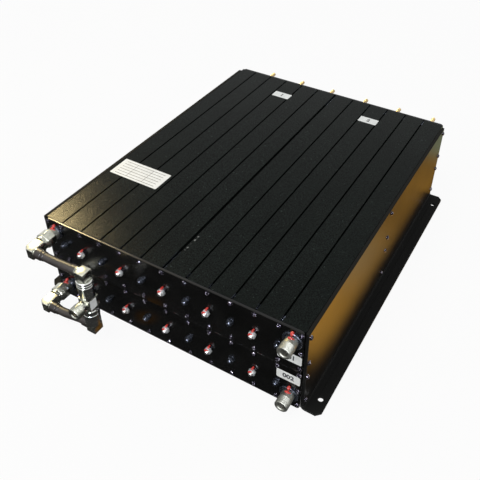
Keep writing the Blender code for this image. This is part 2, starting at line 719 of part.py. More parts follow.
def curve_to_piece(name, curve, material, place, turn):
    """Turn a bevelled curve into a closed mesh piece."""
    wire = bpy.data.objects.new(name + "_curve", curve)
    PARTS.objects.link(wire)
    depsgraph = bpy.context.evaluated_depsgraph_get()
    mesh = bpy.data.meshes.new_from_object(wire.evaluated_get(depsgraph))
    bpy.data.objects.remove(wire, do_unlink=True)
    bm = bmesh.new()
    bm.from_mesh(mesh)
    bmesh.ops.remove_doubles(bm, verts=bm.verts, dist=0.00001)
    bmesh.ops.recalc_face_normals(bm, faces=bm.faces)
    bm.to_mesh(mesh)
    bm.free()
    return add_object(name, mesh, material, place, turn)


def plug_nose():
    """Front of a plug, from its neck to its pin, measured from the mating plane."""
    return [
        (NECK_RADIUS, SHOULDER_LENGTH), (SHOULDER_RADIUS, SHOULDER_LENGTH),
        (SHOULDER_RADIUS, SEAT_GAP), (SLEEVE_OUTER, SEAT_GAP), (SLEEVE_OUTER, -SLEEVE_DEPTH),
        (SLEEVE_INNER, -SLEEVE_DEPTH), (SLEEVE_INNER, BODY_CLEARANCE),
        (PIN_RADIUS, BODY_CLEARANCE), (PIN_RADIUS, -PIN_DEPTH), (0.0, -PIN_DEPTH),
    ]


def ferrule(name, start, length, height, way, frame):
    """Tube from a plug's body along the cable, at a height above the mating plane."""
    bm = bmesh.new()
    add_drum(bm, FERRULE_RADIUS, min(0.0, way * length), max(0.0, way * length), TURN_SIDES)
    piece = add_object(name, mesh_from(bm, name), **frame)
    place_across(piece, start, height)
    return piece


def place_across(piece, start, height):
    """Lay a drum built along Z on the X axis of the plug's own frame."""
    matrix = Matrix.Translation((start, 0.0, height)) @ Matrix.Rotation(math.radians(90), 4, "Y")
    piece.data.transform(matrix)


def ferrule_bore(name, mouth, height, way, frame):
    bm = bmesh.new()
    inner = mouth - way * FERRULE_BORE_DEPTH
    outer = mouth + way * BODY_CLEARANCE
    low, high = sorted((inner, outer))
    add_drum(bm, CABLE_RADIUS + SEAT_GAP, low, high, TURN_SIDES)
    piece = add_object(name, mesh_from(bm, name), **frame)
    place_across(piece, 0.0, height)
    return piece


def elbow_plug(deck):
    """Mitred right angle plug on a left jack, with its cable leaving along +X."""
    base = SHOULDER_LENGTH + SEAT_GAP + NUT_LIP + SEAT_GAP
    end = ELBOW_REACH + ELBOW_END
    neck = base + BODY_CLEARANCE
    profile = [(0.0, neck), (NECK_RADIUS, neck)] + plug_nose()
    mesh = turned_mesh("elbow_plug", profile, TURN_SIDES)
    place = (JACK_PLACES["left"], JACK_MOUTH_Y, JACK_HEIGHTS[deck])
    frame = {"place": place, "turn": OUTWARD_FRONT}
    plug = add_object(f"elbow_plug_{deck}", mesh, "nickel", **frame)
    outline = [
        (ELBOW_SIDE, -base), (-ELBOW_BACK, -base), (-ELBOW_BACK, -end + ELBOW_MITRE),
        (-ELBOW_BACK + ELBOW_MITRE, -end), (ELBOW_SIDE, -end),
    ]
    join(plug, sheet_from_outlines(
        f"elbow_body_{deck}", [outline], ELBOW_HEIGHT, None, place, (0.0, 0.0, 0.0)
    ))
    join(plug, ferrule(f"elbow_ferrule_{deck}", 0.0, ELBOW_FERRULE_LENGTH, ELBOW_REACH, 1, frame))
    cut(plug, ferrule_bore(f"elbow_bore_{deck}", ELBOW_FERRULE_LENGTH, ELBOW_REACH, 1, frame))
    return plug


def hex_nut(deck):
    """Hexagonal coupling nut that turns freely on the elbow plug."""
    top = SHOULDER_LENGTH + SEAT_GAP + NUT_LIP
    bm = bmesh.new()
    add_drum(bm, HEX_NUT_RADIUS, -HEX_NUT_COVER, SHOULDER_LENGTH / 2, 6, turn=math.radians(30))
    place = (JACK_PLACES["left"], JACK_MOUTH_Y, JACK_HEIGHTS[deck])
    nut = add_object(f"coupling_nut_{deck}_jack", mesh_from(bm, "hex_nut"), "nickel", place, OUTWARD_FRONT)
    collar = bmesh.new()
    add_drum(collar, HEX_NUT_COLLAR, 0.0, top, TURN_SIDES)
    frame = {"place": place, "turn": OUTWARD_FRONT}
    join(nut, add_object(f"nut_collar_{deck}", mesh_from(collar, "collar"), **frame))
    lip = SHOULDER_LENGTH + SEAT_GAP
    profile = [
        (0.0, top + BODY_CLEARANCE), (NUT_LIP_BORE, top + BODY_CLEARANCE), (NUT_LIP_BORE, lip),
        (NUT_BORE, lip), (NUT_BORE, -HEX_NUT_COVER - BODY_CLEARANCE),
        (0.0, -HEX_NUT_COVER - BODY_CLEARANCE),
    ]
    cut(nut, add_object(f"nut_bore_{deck}", turned_mesh("bore", profile, TURN_SIDES), **frame))
    return nut


def tee_frame(deck):
    """Place and turn of a plug on the tee: up from the upper arm, down from the lower arm."""
    up = deck == "upper"
    height = TEE_Z + (TEE_ARM_REACH if up else -TEE_ARM_REACH)
    turn = (0.0, 0.0, 0.0) if up else (math.radians(180), 0.0, 0.0)
    return {"place": (TEE_X, CABLE_Y, height), "turn": turn}


def square_plug(deck):
    """Square bodied right angle plug on the tee, with its cable leaving along -X."""
    frame = tee_frame(deck)
    body_low = SQUARE_REACH - SQUARE_HALF_HEIGHT
    profile = [(0.0, body_low + BODY_CLEARANCE), (NECK_RADIUS, body_low + BODY_CLEARANCE)] + plug_nose()
    mesh = turned_mesh("square_plug", profile, TURN_SIDES)
    plug = add_object(f"square_plug_{deck}", mesh, "nickel", **frame)
    bm = bmesh.new()
    low = (-SQUARE_WIDTH / 2, -SQUARE_DEPTH / 2, body_low)
    high = (SQUARE_WIDTH / 2, SQUARE_DEPTH / 2, SQUARE_REACH + SQUARE_HALF_HEIGHT)
    add_box(bm, low, high)
    join(plug, add_object(f"square_body_{deck}", mesh_from(bm, "square_body"), **frame))
    length = SQUARE_FERRULE_LENGTH
    join(plug, ferrule(f"square_ferrule_{deck}", 0.0, length, SQUARE_REACH, -1, frame))
    cut(plug, ferrule_bore(f"square_bore_{deck}", -length, SQUARE_REACH, -1, frame))
    return plug


def round_nut(deck):
    """Round coupling nut with a raised ring, turning freely on the square plug."""
    top = SQUARE_REACH - SQUARE_HALF_HEIGHT - SEAT_GAP
    ring = top - ROUND_NUT_RING_LENGTH
    lip = SHOULDER_LENGTH + SEAT_GAP
    profile = [
        (NUT_LIP_BORE, top), (ROUND_NUT_RING_RADIUS, top), (ROUND_NUT_RING_RADIUS, ring),
        (ROUND_NUT_RADIUS, ring), (ROUND_NUT_RADIUS, -ROUND_NUT_COVER),
        (NUT_BORE, -ROUND_NUT_COVER), (NUT_BORE, lip), (NUT_LIP_BORE, lip),
    ]
    mesh = turned_mesh("round_nut", profile, TURN_SIDES)
    return add_object(f"coupling_nut_{deck}_tee", mesh, "nickel", **tee_frame(deck))


def tee_connector():
    """Tee with a vertical run and the antenna port facing the front."""
    place = (TEE_X, CABLE_Y, TEE_Z)
    bm = bmesh.new()
    half = TEE_BLOCK / 2
    add_box(bm, (-half, -half, -half), (half, half, half))
    tee = add_object("tee_connector", mesh_from(bm, "tee_block"), "nickel", place)
    ports = {
        "up": (TEE_ARM_REACH, (0.0, 0.0, 0.0)),
        "down": (TEE_ARM_REACH, (math.radians(180), 0.0, 0.0)),
        "front": (TEE_BRANCH_REACH, OUTWARD_FRONT),
    }
    for name, (reach, turn) in ports.items():
        root = half - BODY_CLEARANCE
        profile = socket_profile(reach) + [(SHELL_RADIUS, root), (0.0, root)]
        mesh = turned_mesh("tee_port", profile, TURN_SIDES)
        join(tee, add_object(f"tee_port_{name}", mesh, None, place, turn))
    return tee


def harness_cable(deck):
    """Short coaxial lead that rises a little from the elbow plug to the square plug."""
    start = JACK_PLACES["left"] + ELBOW_FERRULE_LENGTH - FERRULE_BORE_DEPTH + SEAT_GAP
    end = TEE_X - SQUARE_FERRULE_LENGTH + FERRULE_BORE_DEPTH - SEAT_GAP
    height = JACK_HEIGHTS[deck]
    straight = FERRULE_BORE_DEPTH
    rise = TEE_PLUG_RISE[deck]
    points = [(start, 0.0, 0.0)]
    for step in range(CABLE_POINTS):
        share = step / (CABLE_POINTS - 1)
        x = start + straight + (end - start - 2 * straight) * share
        lift = rise * share * share * (3 - 2 * share)
        points.append((x, 0.0, lift - CABLE_SAG * math.sin(math.pi * share) ** 2))
    points.append((end, 0.0, rise))
    curve = wire_curve("harness_cable", points, CABLE_RADIUS, 2)
    return curve_to_piece(f"harness_cable_{deck}", curve, "jacket", (0.0, CABLE_Y, height), (0, 0, 0))


def build():
    for deck in DECK_FLOORS:
        for side in ("left", "right"):
            cavity_block(deck, side)
            panel_jack(deck, side)
        front_plate(deck)
        rear_plate(deck)
        for number, x in enumerate(cavity_places(), start=1):
            resonator(deck, number, x)
            tuning_rod(deck, number, x)
        for number, x in enumerate(coupling_places(), start=1):
            coupling_screw(deck, number, x)
        elbow_plug(deck)
        hex_nut(deck)
        square_plug(deck)
        round_nut(deck)
        harness_cable(deck)
    tee_connector()
    for side in ("left", "right"):
        side_bracket(side)


build()
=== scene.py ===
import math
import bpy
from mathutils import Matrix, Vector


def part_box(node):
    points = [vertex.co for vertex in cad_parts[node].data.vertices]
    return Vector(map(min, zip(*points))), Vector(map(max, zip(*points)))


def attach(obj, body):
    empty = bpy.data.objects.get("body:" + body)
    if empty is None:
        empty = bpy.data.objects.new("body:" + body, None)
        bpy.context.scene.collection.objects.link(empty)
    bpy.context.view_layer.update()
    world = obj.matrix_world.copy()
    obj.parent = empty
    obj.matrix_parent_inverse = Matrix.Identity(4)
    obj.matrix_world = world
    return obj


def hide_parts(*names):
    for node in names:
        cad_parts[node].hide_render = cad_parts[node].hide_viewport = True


bl_info = {
    "name": "Cavity Duplexer",
    "version": (1, 0, 0),
    "blender": (4, 5, 0),
    "location": "View3D > Sidebar > Duplexer",
    "description": "Dresses the packed duplexer with its hardware, connectors, labels and finishes",
    "category": "Object",
}

import bmesh
import bpy
from mathutils import Matrix, Vector

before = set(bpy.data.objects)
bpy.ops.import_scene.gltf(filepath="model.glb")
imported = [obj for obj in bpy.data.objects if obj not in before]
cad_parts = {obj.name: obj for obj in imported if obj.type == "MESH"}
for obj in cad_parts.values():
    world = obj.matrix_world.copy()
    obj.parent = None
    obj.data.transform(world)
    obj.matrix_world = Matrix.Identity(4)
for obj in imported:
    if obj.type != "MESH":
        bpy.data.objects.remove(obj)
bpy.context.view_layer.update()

DECKS = ("lower", "upper")
SIDES = {"left": -1, "right": 1}
CAVITIES = range(1, 7)
COUPLINGS = range(1, 6)

ROUND_SIDES = 48
SMALL_SIDES = 20
SMOOTH_ANGLE = math.radians(32)
QUARTER = math.radians(90)
SAME_PLACE = Matrix.Identity(4)
TOUCHING = 0.00002
CLEARANCE = 0.00005


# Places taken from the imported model

def low(node):
    return Vector(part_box(node)[0])


def high(node):
    return Vector(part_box(node)[1])


def middle(node):
    return (low(node) + high(node)) / 2


LEFT_X = low("cavity_block_upper_left").x
RIGHT_X = high("cavity_block_upper_right").x
FRONT_Y = low("cavity_block_upper_left").y
REAR_Y = high("cavity_block_upper_left").y
TOP_Z = high("cavity_block_upper_left").z
DECK_LOW = {deck: low(f"cavity_block_{deck}_left").z for deck in DECKS}
DECK_HIGH = {deck: high(f"cavity_block_{deck}_left").z for deck in DECKS}
CAVITY_X = [middle(f"resonator_upper_{number}").x for number in CAVITIES]
COUPLING_X = [middle(f"coupling_screw_upper_{number}").x for number in COUPLINGS]
CHANNEL_X = sorted(CAVITY_X + COUPLING_X)
SEAM_X = COUPLING_X[2]
ROW_Z = {deck: middle(f"resonator_{deck}_1").z for deck in DECKS}

MOUTH_Y = low("panel_jack_upper_left").y
CABLE_Y = middle("harness_cable_upper").y
JACK_X = middle("panel_jack_upper_left").x
TEE_X = middle("tee_connector").x
TEE_Z = middle("tee_connector").z


def front_face():
    """Where the outer faces of the front plates stand."""
    return FRONT_Y - bpy.context.scene.duplexer_body.plate_thickness


def rear_face():
    return REAR_Y + bpy.context.scene.duplexer_body.plate_thickness


# Settings shown in the sidebar

def length(name, default, text):
    return bpy.props.FloatProperty(
        name=name, description=text, default=default, min=0.0, precision=5, unit="LENGTH"
    )


def colour(name, default, text):
    return bpy.props.FloatVectorProperty(
        name=name, description=text, default=default, size=3, min=0.0, max=1.0, subtype="COLOR"
    )


def brightness(name, default, text):
    return bpy.props.FloatProperty(name=name, description=text, default=default, min=0.0)


class DuplexerBodySizes(bpy.types.PropertyGroup):
    plate_thickness: length("Plate thickness", 0.0032, "Thickness of the front and rear plates")
    plate_corner: length("Plate corner", 0.0040, "Corner radius of the front and rear plates")
    plate_edge: length("Plate edge", 0.0004, "Rounding of the plates' edges")
    bracket_gap: length("Bracket gap", 0.0004, "Gap between a bracket and the body")
    bracket_thickness: length("Bracket thickness", 0.0040, "Sheet thickness of the brackets")
    bracket_bend: length("Bracket bend", 0.0020, "Inner radius of the brackets' bend")
    bracket_corner: length("Bracket corner", 0.0055, "Cut at the flanges' corners")
    bracket_hole: length("Foot hole", 0.0033, "Radius of the holes in the flanges")
    hole_front: length("Front hole", 0.0205, "Distance of a front hole from the flange's end")
    hole_rear: length("Rear hole", 0.0235, "Distance of a rear hole from the flange's end")
    hole_out: length("Foot hole reach", 0.0115, "Distance of the holes from the wall")


class DuplexerHardwareSizes(bpy.types.PropertyGroup):
    head_radius: length("Head radius", 0.0030, "Radius of the pan head screws")
    head_height: length("Head height", 0.0021, "Height of the pan head screws")
    washer_radius: length("Washer radius", 0.0043, "Radius of the washers under the nuts")
    washer_height: length("Washer height", 0.0006, "Thickness of the washers under the nuts")
    bolt_nut: length("Bolt nut", 0.0042, "Corner radius of the resonator bolts' nuts")
    bolt_radius: length("Bolt radius", 0.0025, "Radius of the resonator bolts")
    bolt_reach: length("Bolt reach", 0.0063, "How far the resonator bolts stand out")
    lock_nut: length("Lock nut", 0.0047, "Corner radius of the coupling screws' lock nuts")
    lock_nut_top: length("Lock nut top", 0.0060, "Height of the lock nuts over the plate")
    bush_radius: length("Bush radius", 0.0036, "Radius of the bushes behind the lock nuts")
    bush_height: length("Bush height", 0.0024, "Height of the bushes behind the lock nuts")
    rod_nut: length("Rod nut", 0.0063, "Corner radius of the tuning rods' lock nuts")
    rod_nut_height: length("Rod nut height", 0.0046, "Height of the tuning rods' lock nuts")
    thread_pitch: length("Thread pitch", 0.0010, "Pitch of the tuning rods' threads")
    thread_depth: length("Thread depth", 0.0003, "Depth of the rods' and coupling screws' threads")


class DuplexerConnectorSizes(bpy.types.PropertyGroup):
    shell_radius: length("Shell radius", 0.00795, "Radius of the threaded shells")
    shell_relief: length("Shell relief", 0.0074, "Radius of a shell behind its thread")
    thread_length: length("Thread length", 0.0105, "Length of a shell's thread")
    thread_pitch: length("Shell pitch", 0.00106, "Pitch of the shells' threads")
    ring_height: length("Ring height", 0.0028, "Thickness of the ring behind a panel jack")
    contact_radius: length("Contact radius", 0.0017, "Radius of the centre contacts")
    bore_radius: length("Bore radius", 0.0044, "Radius of the bores around the contacts")
    bore_depth: length("Bore depth", 0.0095, "Depth of the bores around the contacts")
    elbow_back: length("Elbow back", 0.0060, "Reach of an elbow plug behind its own axis")
    elbow_side: length("Elbow side", 0.0078, "Reach of an elbow plug towards its cable")
    elbow_height: length("Elbow height", 0.0140, "Height of an elbow plug's body")
    elbow_mitre: length("Elbow mitre", 0.0045, "Cut at an elbow plug's outer corner")
    cable_radius: length("Cable radius", 0.0054, "Radius of the harness cables")
    sleeve_radius: length("Sleeve radius", 0.0066, "Radius of the sleeves over the cable ends")


class DuplexerFinishes(bpy.types.PropertyGroup):
    anodised: colour("Anodised", (0.0074, 0.0102, 0.0090), "Colour of the cavity blocks")
    coat: colour("Coat", (0.0036, 0.0037, 0.0035), "Colour of the plates and brackets")
    black_zinc: colour("Black zinc", (0.016, 0.014, 0.022), "Colour of the black fasteners")
    blued: colour("Blued steel", (0.055, 0.063, 0.080), "Colour of the resonator bolts")
    zinc: colour("Bright zinc", (0.66, 0.74, 0.79), "Colour of the coupling screws' nuts")
    nickel: colour("Nickel", (0.50, 0.51, 0.44), "Colour of the plated connectors")
    brass: colour("Brass", (0.62, 0.47, 0.24), "Colour of the tuning rods")
    lacquer: colour("Lacquer", (0.80, 0.035, 0.025), "Colour of the thread lacquer")
    jacket: colour("Jacket", (0.020, 0.016, 0.014), "Colour of the cable jackets")
    sticker: colour("Sticker", (0.92, 0.95, 0.94), "Colour of the stickers")
    ink: colour("Ink", (0.05, 0.05, 0.06), "Colour of the stickers' printing")


class DuplexerStage(bpy.types.PropertyGroup):
    camera_place: bpy.props.FloatVectorProperty(
        name="Camera place", description="Where the camera stands", size=3,
        default=(0.33163, -0.59710, 0.61692), subtype="TRANSLATION", precision=5,
    )
    camera_turn: bpy.props.FloatVectorProperty(
        name="Camera turn", description="How the camera is turned", size=3,
        default=(0.917921, -0.022374, 0.511300), subtype="EULER", precision=5,
    )
    camera_lens: bpy.props.FloatProperty(
        name="Lens", description="Focal length in millimetres", default=46.9815, min=1.0
    )
    camera_shift: bpy.props.FloatVectorProperty(
        name="Lens shift", description="Shift of the frame, right and up", size=2,
        default=(-0.06744, -0.11290), precision=5,
    )
    fill_light: brightness("Fill light", 0.55, "Strength of the even light from all round")
    key_light: brightness("Key light", 14.0, "Power of the large soft lamp")
    sheen_light: brightness("Sheen light", 24.0, "Power of the warm lamp behind the left side")
    glint_light: brightness("Glint light", 18.0, "Power of the small lamps that make glints")
    card_glow: brightness("Card glow", 1.15, "Brightness of the warm card at the right side")
    dark_glow: brightness("Dark card glow", 0.05, "Brightness of the dark card before the front")


# Mesh helpers

def facing_front(x, y, z):
    """Turns a piece built along Z towards the front and puts it in place."""
    return Matrix.Translation((x, y, z)) @ Matrix.Rotation(QUARTER, 4, "X")


def facing_rear(x, y, z):
    return Matrix.Translation((x, y, z)) @ Matrix.Rotation(-QUARTER, 4, "X")


def facing_side(x, y, z, way=1):
    """Turns a piece built along Z to the right, or to the left where way is -1."""
    return Matrix.Translation((x, y, z)) @ Matrix.Rotation(QUARTER * way, 4, "Y")


def lifted(height):
    return Matrix.Translation((0, 0, height))


def turned(angle):
    return Matrix.Rotation(angle, 4, "Z")


def close_up(bm):
    """Merges doubled points and turns the faces outwards."""
    bmesh.ops.remove_doubles(bm, verts=bm.verts, dist=0.000005)
    bmesh.ops.recalc_face_normals(bm, faces=bm.faces)


def revolve(profile, sides=ROUND_SIDES):
    """Turned shape about Z from points of (radius, height)."""
    bm = bmesh.new()
    verts = [bm.verts.new((radius, 0.0, height)) for radius, height in profile]
    for pair in zip(verts, verts[1:]):
        bm.edges.new(pair)
    if profile[0][0] > 0:
        bm.edges.new((verts[-1], verts[0]))
    bmesh.ops.spin(
        bm, geom=list(bm.verts) + list(bm.edges), cent=(0, 0, 0), axis=(0, 0, 1),
        angle=math.tau, steps=sides, use_merge=True,
    )
    close_up(bm)
    return bm


def round_edges(bm, width, segments=2, angle=30):
    """Bevels every edge sharper than an angle in degrees."""
    limit = math.radians(angle)
    sharp = [
        edge for edge in bm.edges
        if len(edge.link_faces) == 2 and edge.calc_face_angle(0.0) > limit
    ]
    bmesh.ops.bevel(
        bm, geom=sharp, offset=width, segments=segments, profile=0.5, affect="EDGES",
        material=-1, clamp_overlap=True,
    )


def slab(outline, thickness):
    """Flat outline in XY, extruded upwards along Z."""
    bm = bmesh.new()
    face = bm.faces.new([bm.verts.new((x, y, 0.0)) for x, y in outline])
    raised = bmesh.ops.extrude_face_region(bm, geom=[face])["geom"]
    tops = [item for item in raised if isinstance(item, bmesh.types.BMVert)]
    bmesh.ops.translate(bm, verts=tops, vec=(0.0, 0.0, thickness))
    bmesh.ops.recalc_face_normals(bm, faces=bm.faces)
    return bm


def rectangle(width, height):
    return [(0, 0), (width, 0), (width, height), (0, height)]


def rounded_rectangle(width, height, radius, steps=8):
    """Outline with its lower left corner at the origin."""
    points = []
    corners = [
        (width - radius, radius, -90), (width - radius, height - radius, 0),
        (radius, height - radius, 90), (radius, radius, 180),
    ]
    for x, y, start in corners:
        for step in range(steps + 1):
            angle = math.radians(start + 90 * step / steps)
            points.append((x + radius * math.cos(angle), y + radius * math.sin(angle)))
    return points


def hexagon(radius, turn=0.0):
    angles = [turn + math.tau * corner / 6 for corner in range(6)]
    return [(radius * math.cos(angle), radius * math.sin(angle)) for angle in angles]


def stamp(target, tool, matrix=SAME_PLACE):
    """Adds a placed copy of one mesh to another."""
    mesh = bpy.data.meshes.new("stamp")
    tool.to_mesh(mesh)
    mesh.transform(matrix)
    target.from_mesh(mesh)
    bpy.data.meshes.remove(mesh)


def place_object(name, data):
    """Makes an object of its data and links it to the scene."""
    thing = bpy.data.objects.new(name, data)
    bpy.context.scene.collection.objects.link(thing)
    return thing


def mesh_object(name, bm, material):
    mesh = bpy.data.meshes.new(name)
    bm.to_mesh(mesh)
    bm.free()
    mesh.materials.append(material)
    return place_object(name, mesh)


def make_piece(name, bm, finish, body="body", replaces=()):
    """Finishes a mesh as a piece of the object, riding on one body."""
    piece = mesh_object(name, bm, bpy.data.materials[finish])
    piece.data.polygons.foreach_set("use_smooth", [True] * len(piece.data.polygons))
    piece.data.set_sharp_from_angle(angle=SMOOTH_ANGLE)
    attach(piece, body)
    if replaces:
        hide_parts(*replaces)
    return piece


def curve_mesh(curve):
    """Turns a curve or a text into a mesh and removes it."""
    holder = place_object(curve.name, curve)
    depsgraph = bpy.context.evaluated_depsgraph_get()
    mesh = bpy.data.meshes.new_from_object(holder.evaluated_get(depsgraph))
    bm = bmesh.new()
    bm.from_mesh(mesh)
    bpy.data.objects.remove(holder, do_unlink=True)
    bpy.data.meshes.remove(mesh)
    bpy.data.curves.remove(curve)
    return bm


def tube_mesh(points, radii, resolution=6):
    """Closed tube through points, with a radius at each of them."""
    curve = bpy.data.curves.new("tube", "CURVE")
    curve.dimensions = "3D"
    curve.bevel_depth = 1.0
    curve.bevel_resolution = resolution
    curve.resolution_u = 6
    curve.use_fill_caps = True
    spline = curve.splines.new("NURBS")
    spline.points.add(len(points) - 1)
    for point, place, radius in zip(spline.points, points, radii):
        point.co = (*place, 1.0)
        point.radius = radius
    spline.order_u = 3
    spline.use_endpoint_u = True
    bm = curve_mesh(curve)
    close_up(bm)
    return bm


# Material helpers

def start_material(name):
    """A new material: its node tree, its shader and the object's own coordinates."""
    material = bpy.data.materials.new(name)
    material.use_nodes = True
    nodes = material.node_tree.nodes
    place = nodes.new("ShaderNodeTexCoord").outputs["Object"]
    return material.node_tree, nodes["Principled BSDF"], place


def axes(tree, place):
    """The coordinates of a place, each on its own."""
    split = tree.nodes.new("ShaderNodeSeparateXYZ")
    tree.links.new(place, split.inputs["Vector"])
    return split.outputs


def noise(tree, place, scale, detail=4.0, stretch=(1, 1, 1)):
    """Noise at a scale in features a metre, stretched along the axes."""
    mapping = tree.nodes.new("ShaderNodeMapping")
    mapping.inputs["Scale"].default_value = stretch
    tree.links.new(place, mapping.inputs["Vector"])
    texture = tree.nodes.new("ShaderNodeTexNoise")
    texture.inputs["Scale"].default_value = scale
    texture.inputs["Detail"].default_value = detail
    tree.links.new(mapping.outputs["Vector"], texture.inputs["Vector"])
    return texture.outputs["Fac"]


def spread(tree, value, low_in, high_in, low_out, high_out):
    """Maps a range of values to another one."""
    node = tree.nodes.new("ShaderNodeMapRange")
    node.inputs["From Min"].default_value = low_in
    node.inputs["From Max"].default_value = high_in
    node.inputs["To Min"].default_value = low_out
    node.inputs["To Max"].default_value = high_out
    tree.links.new(value, node.inputs["Value"])
    return node.outputs["Result"]


def wander(tree, cloud, low_out, high_out):
    """A value that wanders with the middle of a noise's range."""
    return spread(tree, cloud, 0.3, 0.7, low_out, high_out)


def feed(tree, socket, value):
    """Gives a socket a number, a colour or another socket's value."""
    if isinstance(value, bpy.types.NodeSocket):
        tree.links.new(value, socket)
    elif isinstance(value, tuple):
        socket.default_value = (*value, 1.0)
    else:
        socket.default_value = value


def blend_colour(tree, share, first, second):
    """Mixes two colours, each a tuple or a socket."""
    node = tree.nodes.new("ShaderNodeMix")
    node.data_type = "RGBA"
    tree.links.new(share, node.inputs["Factor"])
    feed(tree, node.inputs[6], first)
    feed(tree, node.inputs[7], second)
    return node.outputs[2]


def mottle(tree, cloud, edges, first, second):
    """Two colours that meet between two values of a noise."""
    return blend_colour(tree, spread(tree, cloud, *edges, 0, 1), first, second)


def combine(tree, operation, first, second):
    node = tree.nodes.new("ShaderNodeMath")
    node.operation = operation
    feed(tree, node.inputs[0], first)
    feed(tree, node.inputs[1], second)
    return node.outputs["Value"]


def product(tree, *factors):
    total = factors[0]
    for factor in factors[1:]:
        total = combine(tree, "MULTIPLY", total, factor)
    return total


def away(tree, value, centre):
    """How far a value is from a centre, either way."""
    return combine(tree, "ABSOLUTE", combine(tree, "SUBTRACT", value, centre), 0.0)


def bump(tree, shader, height, distance, strength):
    node = tree.nodes.new("ShaderNodeBump")
    node.inputs["Distance"].default_value = distance
    node.inputs["Strength"].default_value = strength
    tree.links.new(height, node.inputs["Height"])
    tree.links.new(node.outputs["Normal"], shader.inputs["Normal"])


def scaled(values, factor):
    return tuple(min(1.0, value * factor) for value in values)


# Finishes

def block_finish(tone):
    """Satin black anodising with drawing lines, fine grain, dust and a scuffed streak."""
    tree, shader, place = start_material("satin_anodised")
    grain = noise(tree, place, 1000, 2.0)
    cloud = noise(tree, place, 14)
    drawn = noise(tree, place, 500, 2.0, (1, 0.02, 1))
    clouded = mottle(tree, cloud, (0.35, 0.65), scaled(tone, 1.3), scaled(tone, 1.7))
    base = mottle(tree, grain, (0.40, 0.60), scaled(tone, 0.25), clouded)
    specks = spread(tree, noise(tree, place, 420, 1.0), 0.735, 0.76, 0, 0.5)
    dusty = blend_colour(tree, specks, base, scaled(tone, 9.0))
    scuffed = blend_colour(tree, scuff_mask(tree, place), dusty, (0.42, 0.43, 0.41))
    feed(tree, shader.inputs["Base Color"], scuffed)
    rough = combine(tree, "ADD", wander(tree, cloud, 0.175, 0.20), wander(tree, drawn, 0, 0.02))
    feed(tree, shader.inputs["Roughness"], rough)
    feed(tree, shader.inputs["Specular IOR Level"], 0.05)
    bump(tree, shader, grain, distance=0.00020, strength=0.5)


def scuff_mask(tree, place):
    """A short row of pale ticks beside the seam, near the front."""
    coordinates = axes(tree, place)
    across = away(tree, coordinates["X"], SEAM_X + 0.0042)
    along = away(tree, coordinates["Y"], FRONT_Y + 0.049)
    narrow = spread(tree, across, 0.0004, 0.0012, 1, 0)
    short = spread(tree, along, 0.013, 0.019, 1, 0)
    ticks = spread(tree, noise(tree, place, 330, 1.0, (0.4, 1, 1)), 0.52, 0.60, 0, 0.55)
    return product(tree, narrow, short, ticks)


def coat_finish(name, tone, roughness, grain, height, level, dull=False):
    """Black powder coat with a fine orange peel; its foot and top edge can be duller, less glossy
    and a little lighter.
    """
    tree, shader, place = start_material(name)
    cloud = noise(tree, place, 22)
    peel = noise(tree, place, grain, 2.0)
    base = mottle(tree, cloud, (0.35, 0.65), scaled(tone, 0.7), scaled(tone, 1.5))
    rough = wander(tree, cloud, roughness - 0.01, roughness + 0.03)
    if dull:
        # Below the bend and along the top edge, a band set by height makes the coat a little
        # lighter, less glossy and rougher.
        up = axes(tree, place)["Z"]
        foot = spread(tree, up, 0.0045, 0.0075, 1, 0)
        edge = spread(tree, up, TOP_Z - 0.0016, TOP_Z - 0.0008, 0, 1)
        picked_out = combine(tree, "MAXIMUM", foot, edge)
        base = blend_colour(tree, picked_out, base, scaled(tone, 2.6))
        level = spread(tree, picked_out, 0, 1, level, 0.06)
        rough = combine(tree, "ADD", rough, spread(tree, picked_out, 0, 1, 0, 0.35))
    feed(tree, shader.inputs["Base Color"], base)
    feed(tree, shader.inputs["Specular IOR Level"], level)
    feed(tree, shader.inputs["Roughness"], rough)
    bump(tree, shader, peel, distance=height, strength=0.4)


def metal_finish(name, tone, roughness, tarnish=0.75, brushed=(1, 1, 1)):
    """Plated metal with cloudy tarnish and fine turning marks."""
    tree, shader, place = start_material(name)
    cloud = noise(tree, place, 160)
    lines = noise(tree, place, 2600, 2.0, brushed)
    base = mottle(tree, cloud, (0.35, 0.65), scaled(tone, tarnish), scaled(tone, 1.12))
    feed(tree, shader.inputs["Base Color"], base)
    rough = wander(tree, cloud, roughness, roughness + 0.1)
    rough = combine(tree, "ADD", rough, wander(tree, lines, 0, 0.06))
    feed(tree, shader.inputs["Roughness"], rough)
    feed(tree, shader.inputs["Metallic"], 1.0)
    bump(tree, shader, lines, distance=0.00002, strength=0.35)


def fastener_finish(name, tone, picked_out, metallic, roughness):
    """Plated fastener with a cold sheen, cloudy wear and small bright chips that are painted
    glints.
    """
    tree, shader, place = start_material(name)
    cloud = noise(tree, place, 900, 3.0)
    base = mottle(tree, cloud, (0.4, 0.6), scaled(tone, 0.7), scaled(tone, 1.8))
    # Sparse bright chips in a fine noise: painted glints on the heads, nuts and bolts.
    base = mottle(tree, noise(tree, place, 900, 1.0), (0.62, 0.66), base, picked_out)
    feed(tree, shader.inputs["Base Color"], base)
    feed(tree, shader.inputs["Roughness"], wander(tree, cloud, roughness - 0.05, roughness + 0.07))
    feed(tree, shader.inputs["Metallic"], metallic)
    bump(tree, shader, cloud, distance=0.00003, strength=0.4)


def lacquer_finish(tone):
    """Thick glossy lacquer, thinner and darker in places."""
    tree, shader, place = start_material("thread_lacquer")
    cloud = noise(tree, place, 700, 3.0)
    base = mottle(tree, cloud, (0.4, 0.65), scaled(tone, 0.75), (0.95, 0.10, 0.08))
    feed(tree, shader.inputs["Base Color"], base)
    feed(tree, shader.inputs["Roughness"], wander(tree, cloud, 0.15, 0.35))
    bump(tree, shader, cloud, distance=0.0002, strength=0.5)


